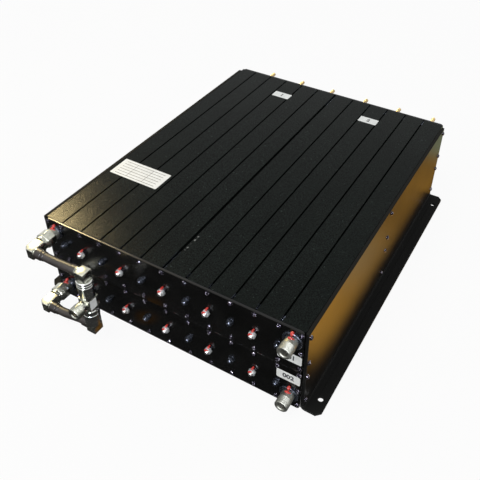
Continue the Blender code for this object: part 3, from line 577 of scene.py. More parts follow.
def jacket_finish(name, tone, roughness):
    """Satin rubbery jacket with faint drawing lines along it."""
    tree, shader, place = start_material(name)
    cloud = noise(tree, place, 90)
    lines = noise(tree, place, 900, 2.0, (0.05, 1, 1))
    base = mottle(tree, cloud, (0.35, 0.65), scaled(tone, 0.8), scaled(tone, 1.5))
    feed(tree, shader.inputs["Base Color"], base)
    feed(tree, shader.inputs["Roughness"], wander(tree, cloud, roughness, roughness + 0.12))
    bump(tree, shader, lines, distance=0.00006, strength=0.5)


def sticker_finish(tone):
    """Matt white film, slightly soiled and uneven."""
    tree, shader, place = start_material("sticker_film")
    cloud = noise(tree, place, 120)
    base = mottle(tree, cloud, (0.35, 0.7), scaled(tone, 0.9), tuple(tone))
    feed(tree, shader.inputs["Base Color"], base)
    feed(tree, shader.inputs["Roughness"], wander(tree, cloud, 0.40, 0.55))
    bump(tree, shader, noise(tree, place, 700, 2.0), distance=0.00004, strength=0.4)


def plain_finish(name, scale, detail, edges, first, second, roughness):
    """Even material of two close tones, for printing and insulators."""
    tree, shader, place = start_material(name)
    base = mottle(tree, noise(tree, place, scale, detail), edges, first, second)
    feed(tree, shader.inputs["Base Color"], base)
    feed(tree, shader.inputs["Roughness"], roughness)


def make_finishes(tones):
    """Every finish by its name, made once and kept by Blender for the other operators."""
    block_finish(tones.anodised)
    coat_finish("plate_coat", tones.coat, 0.20, 900, 0.00008, 0.3)
    coat_finish("bracket_coat", tones.coat, 0.32, 700, 0.00001, 0.5, dull=True)
    metal_finish("plated_nickel", tones.nickel, 0.17)
    # The panel jacks use the plugs' nickel painted at half its brightness, a shaded copy, and are
    # also rougher and brushed along the shell.
    metal_finish("jack_nickel", scaled(tones.nickel, 0.50), 0.42, 0.8, (1, 0.25, 1))
    metal_finish("bright_chrome", (0.62, 0.63, 0.60), 0.08, 0.9)
    metal_finish("silver_plating", (0.70, 0.70, 0.68), 0.24)
    metal_finish("drawn_brass", tones.brass, 0.26, 0.7)
    # The contacts' gold is painted darker, as painted shade deep in the bores.
    metal_finish("gold_contact", (0.50, 0.40, 0.28), 0.2, 0.85)
    # The last colour of each fastener is its chips' colour, painted glints.
    fastener_finish("black_zinc", tones.black_zinc, (0.90, 0.86, 1.0), 0.9, 0.12)
    fastener_finish("blued_steel", tones.blued, (0.30, 0.33, 0.40), 0.9, 0.27)
    fastener_finish("bright_zinc", tones.zinc, (0.80, 0.84, 0.86), 0.45, 0.30)
    lacquer_finish(tones.lacquer)
    jacket_finish("cable_jacket", scaled(tones.jacket, 1.3), 0.42)
    jacket_finish("shrink_sleeve", tones.jacket, 0.34)
    sticker_finish(tones.sticker)
    ink = tuple(tones.ink)
    plain_finish("sticker_ink", 1500, 2.0, (0.4, 0.7), ink, scaled(ink, 1.8), 0.6)
    # The white insulators are painted dark grey-brown, as painted shade deep in the bores.
    plain_finish(
        "white_insulator", 500, 3.0, (0.35, 0.7), (0.11, 0.10, 0.09), (0.17, 0.16, 0.14), 0.45
    )


# Hardware shapes

PANEL_ROW_LOW = 0.0060
PANEL_ROW_HIGH = 0.0040
PANEL_EDGE = 0.0030
BRACKET_ROW_LOW = 0.0150
BRACKET_ROW_HIGH = 0.0080
BRACKET_COLUMN_FRONT = 0.0042
BRACKET_COLUMN_MIDDLE = 0.0055
BRACKET_COLUMN_REAR = 0.0035

HEAD_SINK = 0.0002
HEAD_DOME = ((0.0, 1.0), (0.24, 0.99), (0.50, 0.91), (0.74, 0.70), (0.91, 0.42), (1.0, 0.14))
CROSS_RIM, CROSS_REACH, CROSS_HUB = 0.86, 0.6, 0.3
CROSS_HUB_DEPTH, CROSS_ARM_DEPTH = 0.45, 0.40
THREAD_ROOT, THREAD_CREST = 0.04, (0.40, 0.60)


def screw_head(radius, height):
    """Pan head with a cross recess, its seat at height 0."""
    dome = [(across * radius, up * height) for across, up in HEAD_DOME]
    bm = revolve(dome + [(radius, -HEAD_SINK), (0.0, -HEAD_SINK)], SMALL_SIDES)
    spoke = math.tau / SMALL_SIDES
    for vert in bm.verts:
        reach = math.hypot(vert.co.x, vert.co.y)
        if vert.co.z < CROSS_RIM * height or reach > CROSS_REACH * radius:
            continue
        on_arm = round(math.atan2(vert.co.y, vert.co.x) / spoke) % (SMALL_SIDES // 4) == 0
        if reach < CROSS_HUB * radius:
            vert.co.z -= CROSS_HUB_DEPTH * height
        elif on_arm:
            vert.co.z -= CROSS_ARM_DEPTH * height
    return bm


def hex_nut(radius, height, bore):
    """Hexagonal nut on its seat, with rounded corners and a countersunk thread."""
    step, lift = 0.0004, 0.00002
    bm = slab(hexagon(radius), height)
    round_edges(bm, step)
    top = height + lift
    rim = [
        (bore + step, top), (bore + 2 * step, top), (bore + 2 * step, height - step),
        (bore, height - step),
    ]
    stamp(bm, revolve(rim, SMALL_SIDES))
    return bm


def threaded_profile(radius, depth, pitch, start, end):
    """Ridges of a thread from one height down to another."""
    points = []
    count = max(1, round((start - end) / pitch))
    step = (start - end) / count
    for turn in range(count):
        top = start - turn * step
        points.append((radius - depth, top - THREAD_ROOT * step))
        points += [(radius, top - share * step) for share in THREAD_CREST]
    points.append((radius - depth, end + THREAD_ROOT * step))
    return points


def washer(radius, height, bore):
    edge = 0.15 * height
    outside = [(radius - edge, height), (radius, height - edge), (radius, 0.0)]
    return revolve([(bore, height)] + outside + [(bore, 0.0)], SMALL_SIDES + 4)


def plate_rows(deck):
    """Heights of the two rows of panel screws of one deck."""
    return DECK_LOW[deck] + PANEL_ROW_LOW, DECK_HIGH[deck] - PANEL_ROW_HIGH


def bracket_places():
    """Places of the side screws: (y, z)."""
    front, rear = low("side_bracket_right").y, high("side_bracket_right").y
    columns = (
        front + BRACKET_COLUMN_FRONT, (front + rear) / 2 + BRACKET_COLUMN_MIDDLE,
        rear - BRACKET_COLUMN_REAR,
    )
    rows = []
    for deck in DECKS:
        rows += [DECK_LOW[deck] + BRACKET_ROW_LOW, DECK_HIGH[deck] - BRACKET_ROW_HIGH]
    return [(y, z) for y in columns for z in rows]


# Operators, one for each group of pieces

class DUPLEXER_OT_finishes(bpy.types.Operator):
    """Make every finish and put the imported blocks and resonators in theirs"""
    bl_idname = "duplexer.finishes"
    bl_label = "Finishes"

    def execute(self, context):
        make_finishes(context.scene.duplexer_finishes)
        wanted = {"cavity_block": "satin_anodised", "resonator": "silver_plating"}
        for name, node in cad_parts.items():
            for start, finish in wanted.items():
                if name.startswith(start):
                    for slot in node.material_slots:
                        slot.material = bpy.data.materials[finish]
        return {"FINISHED"}


class DUPLEXER_OT_plates(bpy.types.Operator):
    """Make the front and rear plates"""
    bl_idname = "duplexer.plates"
    bl_label = "Plates"

    def execute(self, context):
        sizes = context.scene.duplexer_body
        for deck in DECKS:
            height = DECK_HIGH[deck] - DECK_LOW[deck]
            outline = rounded_rectangle(RIGHT_X - LEFT_X, height, sizes.plate_corner)
            for end, y in (("front", FRONT_Y), ("rear", rear_face())):
                bm = slab(outline, sizes.plate_thickness)
                round_edges(bm, sizes.plate_edge, angle=60)
                bm.transform(facing_front(LEFT_X, y, DECK_LOW[deck]))
                node = f"{end}_plate_{deck}"
                make_piece(f"{node}_sheet", bm, "plate_coat", replaces=[node])
        return {"FINISHED"}


class DUPLEXER_OT_brackets(bpy.types.Operator):
    """Make the bent side brackets"""
    bl_idname = "duplexer.brackets"
    bl_label = "Side brackets"

    def execute(self, context):
        for side in SIDES:
            self.bracket(context.scene.duplexer_body, side)
        return {"FINISHED"}

    def bracket(self, sizes, side):
        """A flange with its holes, spun up into the bend and drawn up into the wall."""
        node = f"side_bracket_{side}"
        front, rear, top = low(node).y, high(node).y, high(node).z
        wall = sizes.bracket_gap
        heel = sizes.bracket_bend + sizes.bracket_thickness
        lead = sizes.bracket_bend / 2
        start = wall + heel + lead
        bm = self.flange(sizes, front, rear, start, high(node).x - low(node).x + wall)
        bend_edge = next(
            edge for edge in bm.edges
            if all(abs(vert.co.x - start) < TOUCHING for vert in edge.verts)
        )
        bmesh.ops.triangle_fill(bm, use_beauty=True, edges=list(bm.edges), normal=(0, 0, 1))
        bend_edge = self.pull(bm, bend_edge, (-lead, 0.0, 0.0))
        spun = bmesh.ops.spin(
            bm, geom=[bend_edge, *bend_edge.verts], cent=(wall + heel, 0.0, heel),
            axis=(0, 1, 0), angle=QUARTER, steps=10,
        )["geom_last"]
        last = next(item for item in spun if isinstance(item, bmesh.types.BMEdge))
        last = self.pull(bm, last, (0.0, 0.0, lead))
        self.pull(bm, last, (0.0, 0.0, top - heel - lead))
        if side == "left":
            bmesh.ops.scale(bm, vec=(-1, 1, 1), verts=bm.verts)
        bmesh.ops.translate(bm, verts=bm.verts, vec=(RIGHT_X if side == "right" else LEFT_X, 0, 0))
        bmesh.ops.recalc_face_normals(bm, faces=bm.faces)
        level = next(face for face in bm.faces if abs(face.normal.z) > 0.9)
        if level.normal.z > 0:
            bmesh.ops.reverse_faces(bm, faces=bm.faces)
        piece = make_piece(f"{node}_sheet", bm, "bracket_coat", replaces=[node])
        skin = piece.modifiers.new("sheet", "SOLIDIFY")
        skin.thickness = sizes.bracket_thickness
        skin.offset = -1.0
        edge = piece.modifiers.new("edges", "BEVEL")
        edge.width = 0.0004
        edge.segments = 2
        edge.limit_method = "ANGLE"
        edge.angle_limit = math.radians(40)
        edge.harden_normals = True

    def flange(self, sizes, front, rear, start, foot):
        """Outline of a flange from its bend out to its foot, with its two holes."""
        bm = bmesh.new()
        cut = sizes.bracket_corner
        outline = [
            (start, front), (foot - cut, front), (foot, front + cut),
            (foot, rear - cut), (foot - cut, rear), (start, rear),
        ]
        corners = [bm.verts.new((x, y, 0.0)) for x, y in outline]
        for pair in zip(corners, corners[1:] + corners[:1]):
            bm.edges.new(pair)
        hole_x = sizes.bracket_gap + sizes.bracket_thickness + sizes.hole_out
        for y in (front + sizes.hole_front, rear - sizes.hole_rear):
            bmesh.ops.create_circle(
                bm, cap_ends=False, segments=32, radius=sizes.bracket_hole,
                matrix=Matrix.Translation((hole_x, y, 0.0)),
            )
        return bm

    def pull(self, bm, edge, way):
        """Draws a strip of sheet out of one edge and returns the strip's far edge."""
        grown = bmesh.ops.extrude_edge_only(bm, edges=[edge])["geom"]
        moved = [item for item in grown if isinstance(item, bmesh.types.BMVert)]
        bmesh.ops.translate(bm, verts=moved, vec=way)
        return next(edge for edge in moved[0].link_edges if edge.other_vert(moved[0]) is moved[1])


class DUPLEXER_OT_screws(bpy.types.Operator):
    """Make the pan head screws of the plates and brackets"""
    bl_idname = "duplexer.screws"
    bl_label = "Panel and bracket screws"

    def execute(self, context):
        sizes = context.scene.duplexer_hardware
        head = screw_head(sizes.head_radius, sizes.head_height)
        edges = [LEFT_X + PANEL_EDGE, RIGHT_X - PANEL_EDGE]
        for deck in DECKS:
            front = bmesh.new()
            rear = bmesh.new()
            for x in CHANNEL_X + edges:
                for z in plate_rows(deck):
                    self.screw(front, head, facing_front(x, front_face(), z), x + z)
                    if x in CHANNEL_X:
                        self.screw(rear, head, facing_rear(x, rear_face(), z), x - z)
            for x in edges:
                self.screw(front, head, facing_front(x, front_face(), ROW_Z[deck]), x)
            make_piece(f"front_screws_{deck}", front, "black_zinc")
            make_piece(f"rear_screws_{deck}", rear, "black_zinc")
        wall = context.scene.duplexer_body
        reach = wall.bracket_gap + wall.bracket_thickness
        for side, way in SIDES.items():
            bm = bmesh.new()
            x = (LEFT_X - reach) if way < 0 else (RIGHT_X + reach)
            for y, z in bracket_places():
                self.screw(bm, head, facing_side(x, y, z, way), y + z)
            make_piece(f"bracket_screws_{side}", bm, "black_zinc")
        return {"FINISHED"}

    def screw(self, bm, head, place, seed):
        """Adds a head with a turn of its own, so that no two recesses line up."""
        turns_a_metre = 900.0
        stamp(bm, head, place @ turned(seed * turns_a_metre))


class DUPLEXER_OT_channel_screws(bpy.types.Operator):
    """Make the screw shanks that show in the open channels of the top"""
    bl_idname = "duplexer.channel_screws"
    bl_label = "Shanks in the channels"

    def execute(self, context):
        radius, depth, pitch = 0.0015, 0.0003, 0.0007
        short, long = 0.011, 0.033
        z = plate_rows("upper")[1]
        shanks = {"front": bmesh.new(), "rear": bmesh.new()}
        for x in CHANNEL_X:
            reach = long if x == SEAM_X else short
            thread = threaded_profile(radius, depth, pitch, reach, 0.0)
            shank = revolve([(0.0, reach)] + thread + [(0.0, 0.0)], 12)
            stamp(shanks["front"], shank, facing_rear(x, FRONT_Y, z))
            stamp(shanks["rear"], shank, facing_front(x, REAR_Y, z))
        for end, bm in shanks.items():
            make_piece(f"channel_screws_{end}", bm, "blued_steel")
        return {"FINISHED"}


class DUPLEXER_OT_bolts(bpy.types.Operator):
    """Make the black resonator bolts with their nuts and washers"""
    bl_idname = "duplexer.bolts"
    bl_label = "Resonator bolts"

    def execute(self, context):
        sizes = context.scene.duplexer_hardware
        nut_height, first_turn, turn_step = 0.0035, 0.2, 0.5
        depth, pitch, edge, lead = 0.0005, 0.0015, 0.0006, 0.0003
        radius, end = sizes.bolt_radius, sizes.bolt_reach
        nut = hex_nut(sizes.bolt_nut, nut_height, radius)
        disc = washer(sizes.washer_radius, sizes.washer_height, radius)
        thread = threaded_profile(radius, depth, pitch, end - lead, 0.0)
        bolt = revolve([(0.0, end), (radius - edge, end)] + thread + [(0.0, 0.0)], SMALL_SIDES)
        for deck in DECKS:
            bm = bmesh.new()
            for number, x in enumerate(CAVITY_X):
                place = facing_front(x, front_face(), ROW_Z[deck])
                turn = turned(turn_step * number + first_turn)
                stamp(bm, disc, place)
                stamp(bm, nut, place @ turn @ lifted(sizes.washer_height))
                stamp(bm, bolt, place)
            make_piece(f"resonator_bolts_{deck}", bm, "blued_steel")
        return {"FINISHED"}


class DUPLEXER_OT_coupling_screws(bpy.types.Operator):
    """Make the coupling screws, their bushes and lock nuts and the lacquer on them"""
    bl_idname = "duplexer.coupling_screws"
    bl_label = "Coupling screws"

    def execute(self, context):
        sizes = context.scene.duplexer_hardware
        bore, turn_step = 0.0028, 0.35
        bush = revolve([
            (bore, sizes.bush_height), (sizes.bush_radius, sizes.bush_height),
            (sizes.bush_radius, 0.0), (bore, 0.0),
        ], SMALL_SIDES)
        nut = hex_nut(sizes.lock_nut, sizes.lock_nut_top - sizes.bush_height, bore)
        for deck in DECKS:
            nuts = bmesh.new()
            bushes = bmesh.new()
            dabs = bmesh.new()
            for number, x in enumerate(COUPLING_X):
                place = facing_front(x, front_face(), ROW_Z[deck])
                stamp(bushes, bush, place)
                stamp(nuts, nut, place @ turned(turn_step * number) @ lifted(sizes.bush_height))
                self.dab(dabs, sizes, place)
                self.screw(sizes, f"coupling_screw_{deck}_{number + 1}", place)
            make_piece(f"lock_nuts_{deck}", nuts, "bright_zinc")
            make_piece(f"lock_nut_bushes_{deck}", bushes, "black_zinc")
            make_piece(f"lock_nut_lacquer_{deck}", dabs, "thread_lacquer")
        return {"FINISHED"}

    def dab(self, bm, sizes, place):
        """A streak from the nut's top back to the plate and a dab around the thread before it."""
        top = sizes.lock_nut_top
        rim = sizes.lock_nut
        streak = [
            (0.0002, rim - 0.0004, top - 0.0014), (0.0, rim + 0.0002, top - 0.0026),
            (0.0, rim + 0.0002, sizes.bush_height), (0.0003, rim + 0.0008, 0.0004),
        ]
        stamp(bm, tube_mesh(streak, (0.0010, 0.0014, 0.0014, 0.0009)), place)
        reach = 0.0030
        angles = [math.radians(70 + 28 * step) for step in range(5)]
        arc = [(reach * math.cos(angle), reach * math.sin(angle), top + 0.0004) for angle in angles]
        stamp(bm, tube_mesh(arc, (0.0007, 0.0011, 0.0012, 0.0011, 0.0007)), place)

    def screw(self, sizes, node, place):
        """Silver screw with a flat end and a thread."""
        radius, pitch, edge, lead = 0.0025, 0.0008, 0.0005, 0.0004
        end = front_face() - low(node).y
        inner = front_face() - high(node).y
        thread = threaded_profile(radius, sizes.thread_depth, pitch, end - lead, inner)
        bm = revolve([(0.0, end), (radius - edge, end)] + thread + [(0.0, inner)], SMALL_SIDES)
        bm.transform(place)
        make_piece(f"{node}_thread", bm, "silver_plating", node, [node])


class DUPLEXER_OT_tuning_rods(bpy.types.Operator):
    """Make the threaded tuning rods and their lock nuts at the rear"""
    bl_idname = "duplexer.tuning_rods"
    bl_label = "Tuning rods"

    def execute(self, context):
        sizes = context.scene.duplexer_hardware
        bore, turn_step = 0.0034, 0.4
        nut = hex_nut(sizes.rod_nut, sizes.rod_nut_height, bore)
        for deck in DECKS:
            nuts = bmesh.new()
            for number in CAVITIES:
                node = f"tuning_rod_{deck}_{number}"
                place = facing_rear(middle(node).x, rear_face(), ROW_Z[deck])
                stamp(nuts, nut, place @ turned(turn_step * number))
                self.rod(sizes, node, place)
            make_piece(f"rod_lock_nuts_{deck}", nuts, "drawn_brass")
        return {"FINISHED"}

    def rod(self, sizes, node, place):
        """A threaded rod with its plunger on the inner end."""
        radius, tip_radius, lead, relief = 0.0030, 0.0022, 0.0005, 0.002
        plunger_radius, plunger_length, edge = 0.0056, 0.060, 0.0003
        tip = high(node).y - rear_face()
        far = low(node).y - rear_face()
        near = far + plunger_length
        thread = threaded_profile(
            radius, sizes.thread_depth, sizes.thread_pitch, tip - lead, near + relief
        )
        bm = revolve([(0.0, tip), (tip_radius, tip)] + thread + [
            (0.0054, near), (plunger_radius, near - edge), (plunger_radius, far), (0.0, far),
        ], 16)
        bm.transform(place)
        make_piece(f"{node}_thread", bm, "drawn_brass", node, [node])


# Ports, shared by the panel jacks and the tee

def ring_radius(node):
    return (high(node).z - low(node).z) / 2


def socket_profile(sizes, mouth):
    """Threaded female shell from the floor of its bore, over its rim and down the thread."""
    bore = sizes.bore_radius
    floor = mouth - sizes.bore_depth
    rim = [
        (0.0, floor), (bore, floor), (bore, mouth - 0.0011), (bore + 0.0008, mouth - 0.0002),
        (bore + 0.0010, mouth), (sizes.shell_radius - 0.0006, mouth),
    ]
    return rim + threaded_profile(
        sizes.shell_radius, 0.00035, sizes.thread_pitch, mouth - 0.0003,
        mouth - sizes.thread_length,
    )


def add_contact(sizes, name, place, mouth):
    """Centre contact with a split mouth and the insulator around its foot."""
    radius = sizes.contact_radius
    slit, edge = 0.0009, 0.0002
    top = mouth - 0.0049
    floor = mouth - sizes.bore_depth
    bm = revolve([
        (0.0, floor + 0.0002), (slit, floor + 0.0002), (slit, top - 0.0003), (0.0012, top),
        (radius - edge, top), (radius, top - edge), (radius, floor - 0.0003), (0.0, floor - 0.0003),
    ], 24)
    bm.transform(place)
    make_piece(f"{name}_contact", bm, "gold_contact")
    inner, outer = radius + CLEARANCE, sizes.bore_radius - CLEARANCE
    foot, face = floor + CLEARANCE, floor + 0.0012
    bm = revolve([(inner, face), (outer, face), (outer, foot), (inner, foot)], 32)
    bm.transform(place)
    make_piece(f"{name}_insulator", bm, "white_insulator")


class DUPLEXER_OT_panel_jacks(bpy.types.Operator):
    """Make the four panel jacks with rings, contacts, insulators and lacquer"""
    bl_idname = "duplexer.panel_jacks"
    bl_label = "Panel jacks"

    def execute(self, context):
        sizes = context.scene.duplexer_connectors
        stem_radius, stem_end, seat = 0.0052, -0.0075, 0.0002
        for deck in DECKS:
            for side in SIDES:
                node = f"panel_jack_{deck}_{side}"
                place = facing_front(middle(node).x, front_face(), middle(node).z)
                mouth = front_face() - low(node).y
                shell = revolve(socket_profile(sizes, mouth) + [
                    (sizes.shell_relief, seat), (stem_radius, seat), (stem_radius, stem_end),
                    (0.0, stem_end),
                ])
                shell.transform(place)
                make_piece(f"{node}_shell", shell, "jack_nickel", replaces=[node])
                self.ring(sizes, node, place)
                add_contact(sizes, node, place, mouth)
                self.lacquer(sizes, node, place)
        return {"FINISHED"}

    def ring(self, sizes, node, place):
        edge, foot = 0.0005, 0.0003
        radius, top = ring_radius(node), sizes.ring_height
        bore = sizes.shell_relief + CLEARANCE
        bm = revolve([
            (bore, top), (radius - edge, top), (radius, top - edge), (radius, foot), (bore, foot),
        ])
        bm.transform(place)
        make_piece(f"{node}_ring", bm, "blued_steel")

    def lacquer(self, sizes, node, place):
        """A blob over the ring's edge and another where the shell meets the ring."""
        ring, shell, top = ring_radius(node), sizes.shell_relief, sizes.ring_height
        blob = [
            (0.0, ring + 0.0006, 0.0008), (0.0, ring + 0.0005, 0.0018),
            (0.0, ring - 0.0009, top + 0.0004), (0.0, ring - 0.0022, top + 0.0004),
        ]
        bm = tube_mesh(blob, (0.0015, 0.0021, 0.0020, 0.0010))
        run = [
            (-0.0034, shell - 0.0012, top + 0.0020), (-0.0016, shell + 0.0001, top + 0.0026),
            (0.0010, shell + 0.0003, top + 0.0026), (0.0036, shell - 0.0012, top + 0.0014),
        ]
        stamp(bm, tube_mesh(run, (0.0007, 0.0017, 0.0015, 0.0005)))
        bm.transform(place)
        make_piece(f"{node}_lacquer", bm, "thread_lacquer")


# The harness

SQUARE_HALF = 0.0066
TEE_HALF = 0.00825

NECK_RADIUS = 0.0055
FLANGE_RADIUS, FLANGE_TOP, FLANGE_FOOT = 0.0071, 0.0024, 0.0003
TUBE_RADIUS, TUBE_BORE, TUBE_END = 0.0040, 0.0033, -0.0075
PIN_RADIUS, PIN_ROOT, PIN_END = 0.0008, 0.0010, -0.0070
SPOUT_BORE, SPOUT_EDGE = 0.0056, 0.0092

NUT_LIP_TOP = 0.0047
NUT_LIP_BORE = 0.0059
NUT_BORE = 0.0083
NUT_SEAT = 0.0027
HEXAGON_RADIUS = 0.0107
HEXAGON_COVER = 0.0115
HEXAGON_TOP = 0.0012
COLLAR_RADIUS = 0.0088

BARREL_TOP = 0.0131
BARREL_RADIUS = 0.0092
BARREL_RINGS = {
    "upper": ((0.0125, 0.0096), (0.0090, 0.0062), (0.0056, 0.0026)),
    "lower": ((-0.0015, -0.0050), (-0.0090, -0.0124)),
}


def plug_nose(root, tip):
    """Turned inner end of a plug: its neck, flange, tube and pin."""
    return revolve([
        (0.0, root), (NECK_RADIUS, root), (NECK_RADIUS, FLANGE_TOP), (FLANGE_RADIUS, FLANGE_TOP),
        (FLANGE_RADIUS, FLANGE_FOOT), (TUBE_RADIUS, FLANGE_FOOT), (TUBE_RADIUS, PIN_END),
        (TUBE_BORE, TUBE_END), (TUBE_BORE, PIN_ROOT), (PIN_RADIUS, PIN_ROOT), *tip,
        (0.0, PIN_END),
    ])


def plug_spout(radius, lip, root, mouth, floor):
    """Turned collar of a plug that the lead goes into."""
    return revolve([
        (lip, mouth), (radius, SPOUT_EDGE), (radius, root), (0.0, root), (0.0, floor),
        (SPOUT_BORE, floor),
    ])


def open_edges(bm, height, radius=None):
    """Open edges at one height and, where it is given, one distance from the axis."""
    def meets(vert):
        reach = math.hypot(vert.co.x, vert.co.y)
        level = abs(vert.co.z - height) < TOUCHING
        return level and (radius is None or abs(reach - radius) < TOUCHING)

    return [edge for edge in bm.edges if edge.is_boundary and all(map(meets, edge.verts))]


class DUPLEXER_OT_elbow_plugs(bpy.types.Operator):
    """Make the mitred elbow plugs and their hexagonal coupling nuts"""
    bl_idname = "duplexer.elbow_plugs"
    bl_label = "Elbow plugs"

    def execute(self, context):
        for deck in DECKS:
            place = facing_front(JACK_X, MOUTH_Y, middle(f"panel_jack_{deck}_left").z)
            self.body(context.scene.duplexer_connectors, deck, place)
            self.nut(deck, place)
        return {"FINISHED"}

    def body(self, sizes, deck, place):
        node = f"elbow_plug_{deck}"
        end = MOUTH_Y - low(node).y
        gap, sunk = 0.0003, 0.0010
        base = NUT_LIP_TOP + gap
        back, side, mitre = sizes.elbow_back, sizes.elbow_side, sizes.elbow_mitre
        bm = slab([
            (side, base), (side, end), (mitre - back, end), (-back, end - mitre), (-back, base),
        ], sizes.elbow_height)
        round_edges(bm, 0.0011, 3)
        bm.transform(Matrix.Rotation(QUARTER, 4, "X") @ lifted(-sizes.elbow_height / 2))
        pin_tip = [(PIN_RADIUS, PIN_END + 0.0006), (PIN_RADIUS / 2, PIN_END)]
        stamp(bm, plug_nose(base + sunk, pin_tip))
        spout = plug_spout(radius=0.0065, lip=0.0060, root=0.0050, mouth=0.0098, floor=0.0095)
        stamp(bm, spout, facing_side(0, 0, MOUTH_Y - CABLE_Y))
        bm.transform(place)
        make_piece(f"{node}_body", bm, "plated_nickel", replaces=[node])

    def nut(self, deck, place):
        """Hexagon with its ends opened and bridged to a turned inside."""
        node = f"coupling_nut_{deck}_jack"
        bm = slab(hexagon(HEXAGON_RADIUS, math.radians(30)), HEXAGON_COVER + HEXAGON_TOP)
        bmesh.ops.translate(bm, verts=bm.verts, vec=(0, 0, -HEXAGON_COVER))
        round_edges(bm, 0.0006, 3)
        caps = [
            face for face in bm.faces if abs(face.normal.z) > 0.99 and face.calc_area() > 0.00005
        ]
        bmesh.ops.delete(bm, geom=caps, context="FACES_ONLY")
        heights = [vert.co.z for vert in bm.verts]
        front, back = open_edges(bm, max(heights)), open_edges(bm, min(heights))
        collar = self.inside(bm, [
            (COLLAR_RADIUS, HEXAGON_TOP), (COLLAR_RADIUS, NUT_LIP_TOP - 0.0004),
            (COLLAR_RADIUS - 0.0004, NUT_LIP_TOP), (NUT_LIP_BORE, NUT_LIP_TOP),
            (NUT_LIP_BORE, NUT_SEAT), (NUT_BORE, NUT_SEAT), (NUT_BORE, -HEXAGON_COVER + 0.0005),
            (COLLAR_RADIUS, -HEXAGON_COVER),
        ])
        bmesh.ops.bridge_loops(bm, edges=front + collar[0])
        bmesh.ops.bridge_loops(bm, edges=back + collar[1])
        bmesh.ops.recalc_face_normals(bm, faces=bm.faces)
        bm.transform(place)
        make_piece(f"{node}_hexagon", bm, "plated_nickel", node, [node])

    def inside(self, bm, profile):
        """Open turned skin along a profile; returns its first and last loops of edges."""
        verts = [bm.verts.new((radius, 0.0, height)) for radius, height in profile]
        edges = [bm.edges.new(pair) for pair in zip(verts, verts[1:])]
        bmesh.ops.spin(
            bm, geom=verts + edges, cent=(0, 0, 0), axis=(0, 0, 1), angle=math.tau,
            steps=ROUND_SIDES, use_merge=True,
        )
        return [open_edges(bm, height, radius) for radius, height in (profile[0], profile[-1])]


def plug_height(deck):
    """Height of the cable's axis where it enters a square plug."""
    node = f"square_plug_{deck}"
    return high(node).z - SQUARE_HALF if deck == "upper" else low(node).z + SQUARE_HALF


def tee_place(deck):
    """Frame of a plug on the tee, with its own +Z away from the tee."""
    if deck == "upper":
        return Matrix.Translation((TEE_X, CABLE_Y, high("tee_connector").z))
    turn = Matrix.Rotation(2 * QUARTER, 4, "X")
    return Matrix.Translation((TEE_X, CABLE_Y, low("tee_connector").z)) @ turn


class DUPLEXER_OT_square_plugs(bpy.types.Operator):
    """Make the square elbow plugs and their round coupling nuts"""
    bl_idname = "duplexer.square_plugs"
    bl_label = "Square plugs"

    def execute(self, context):
        for deck in DECKS:
            self.body(deck, tee_place(deck))
            self.nut(deck, tee_place(deck))
        return {"FINISHED"}

    def body(self, deck, place):
        node = f"square_plug_{deck}"
        width, depth, height, foot = 0.0127, 0.0140, 0.0125, 0.0134
        crown, root, cable_height = 0.0007, 0.0140, 0.020
        bm = slab(rectangle(width, depth), height)
        bmesh.ops.translate(bm, verts=bm.verts, vec=(-width / 2, -depth / 2, foot))
        lid = max(bm.faces, key=lambda face: face.calc_center_median().z)
        peak = bmesh.ops.poke(bm, faces=[lid])["verts"]
        bmesh.ops.translate(bm, verts=peak, vec=(0, 0, crown))
        round_edges(bm, 0.0004, 2, 40)
        stamp(bm, plug_nose(root, [(PIN_RADIUS, PIN_END)]))
        spout = plug_spout(radius=0.0064, lip=0.0062, root=0.0040, mouth=0.0095, floor=0.0090)
        stamp(bm, spout, facing_side(0, 0, cable_height, -1))
        bm.transform(place)
        make_piece(f"{node}_body", bm, "plated_nickel", replaces=[node])

    def nut(self, deck, place):
        """Turned barrel with raised rings."""
        node = f"coupling_nut_{deck}_tee"
        edge, ring_edge, ring_peak, lid = 0.0004, 0.0096, 0.0098, 0.0086
        foot = 0.00025 - (high("tee_connector").z - TEE_Z - TEE_HALF - 0.0010)
        profile = [
            (NUT_LIP_BORE, BARREL_TOP), (lid, BARREL_TOP), (BARREL_RADIUS, BARREL_TOP - edge),
        ]
        for start, end in BARREL_RINGS[deck]:
            profile += [
                (BARREL_RADIUS, start), (ring_edge, start - edge), (ring_peak, (start + end) / 2),
                (ring_edge, end + edge), (BARREL_RADIUS, end),
            ]
        profile += [
            (BARREL_RADIUS, foot + edge), (COLLAR_RADIUS, foot), (NUT_BORE, foot),
            (NUT_BORE, NUT_SEAT), (NUT_LIP_BORE, NUT_SEAT),
        ]
        bm = revolve(profile)
        bm.transform(place)
        make_piece(f"{node}_barrel", bm, "bright_chrome", node, [node])


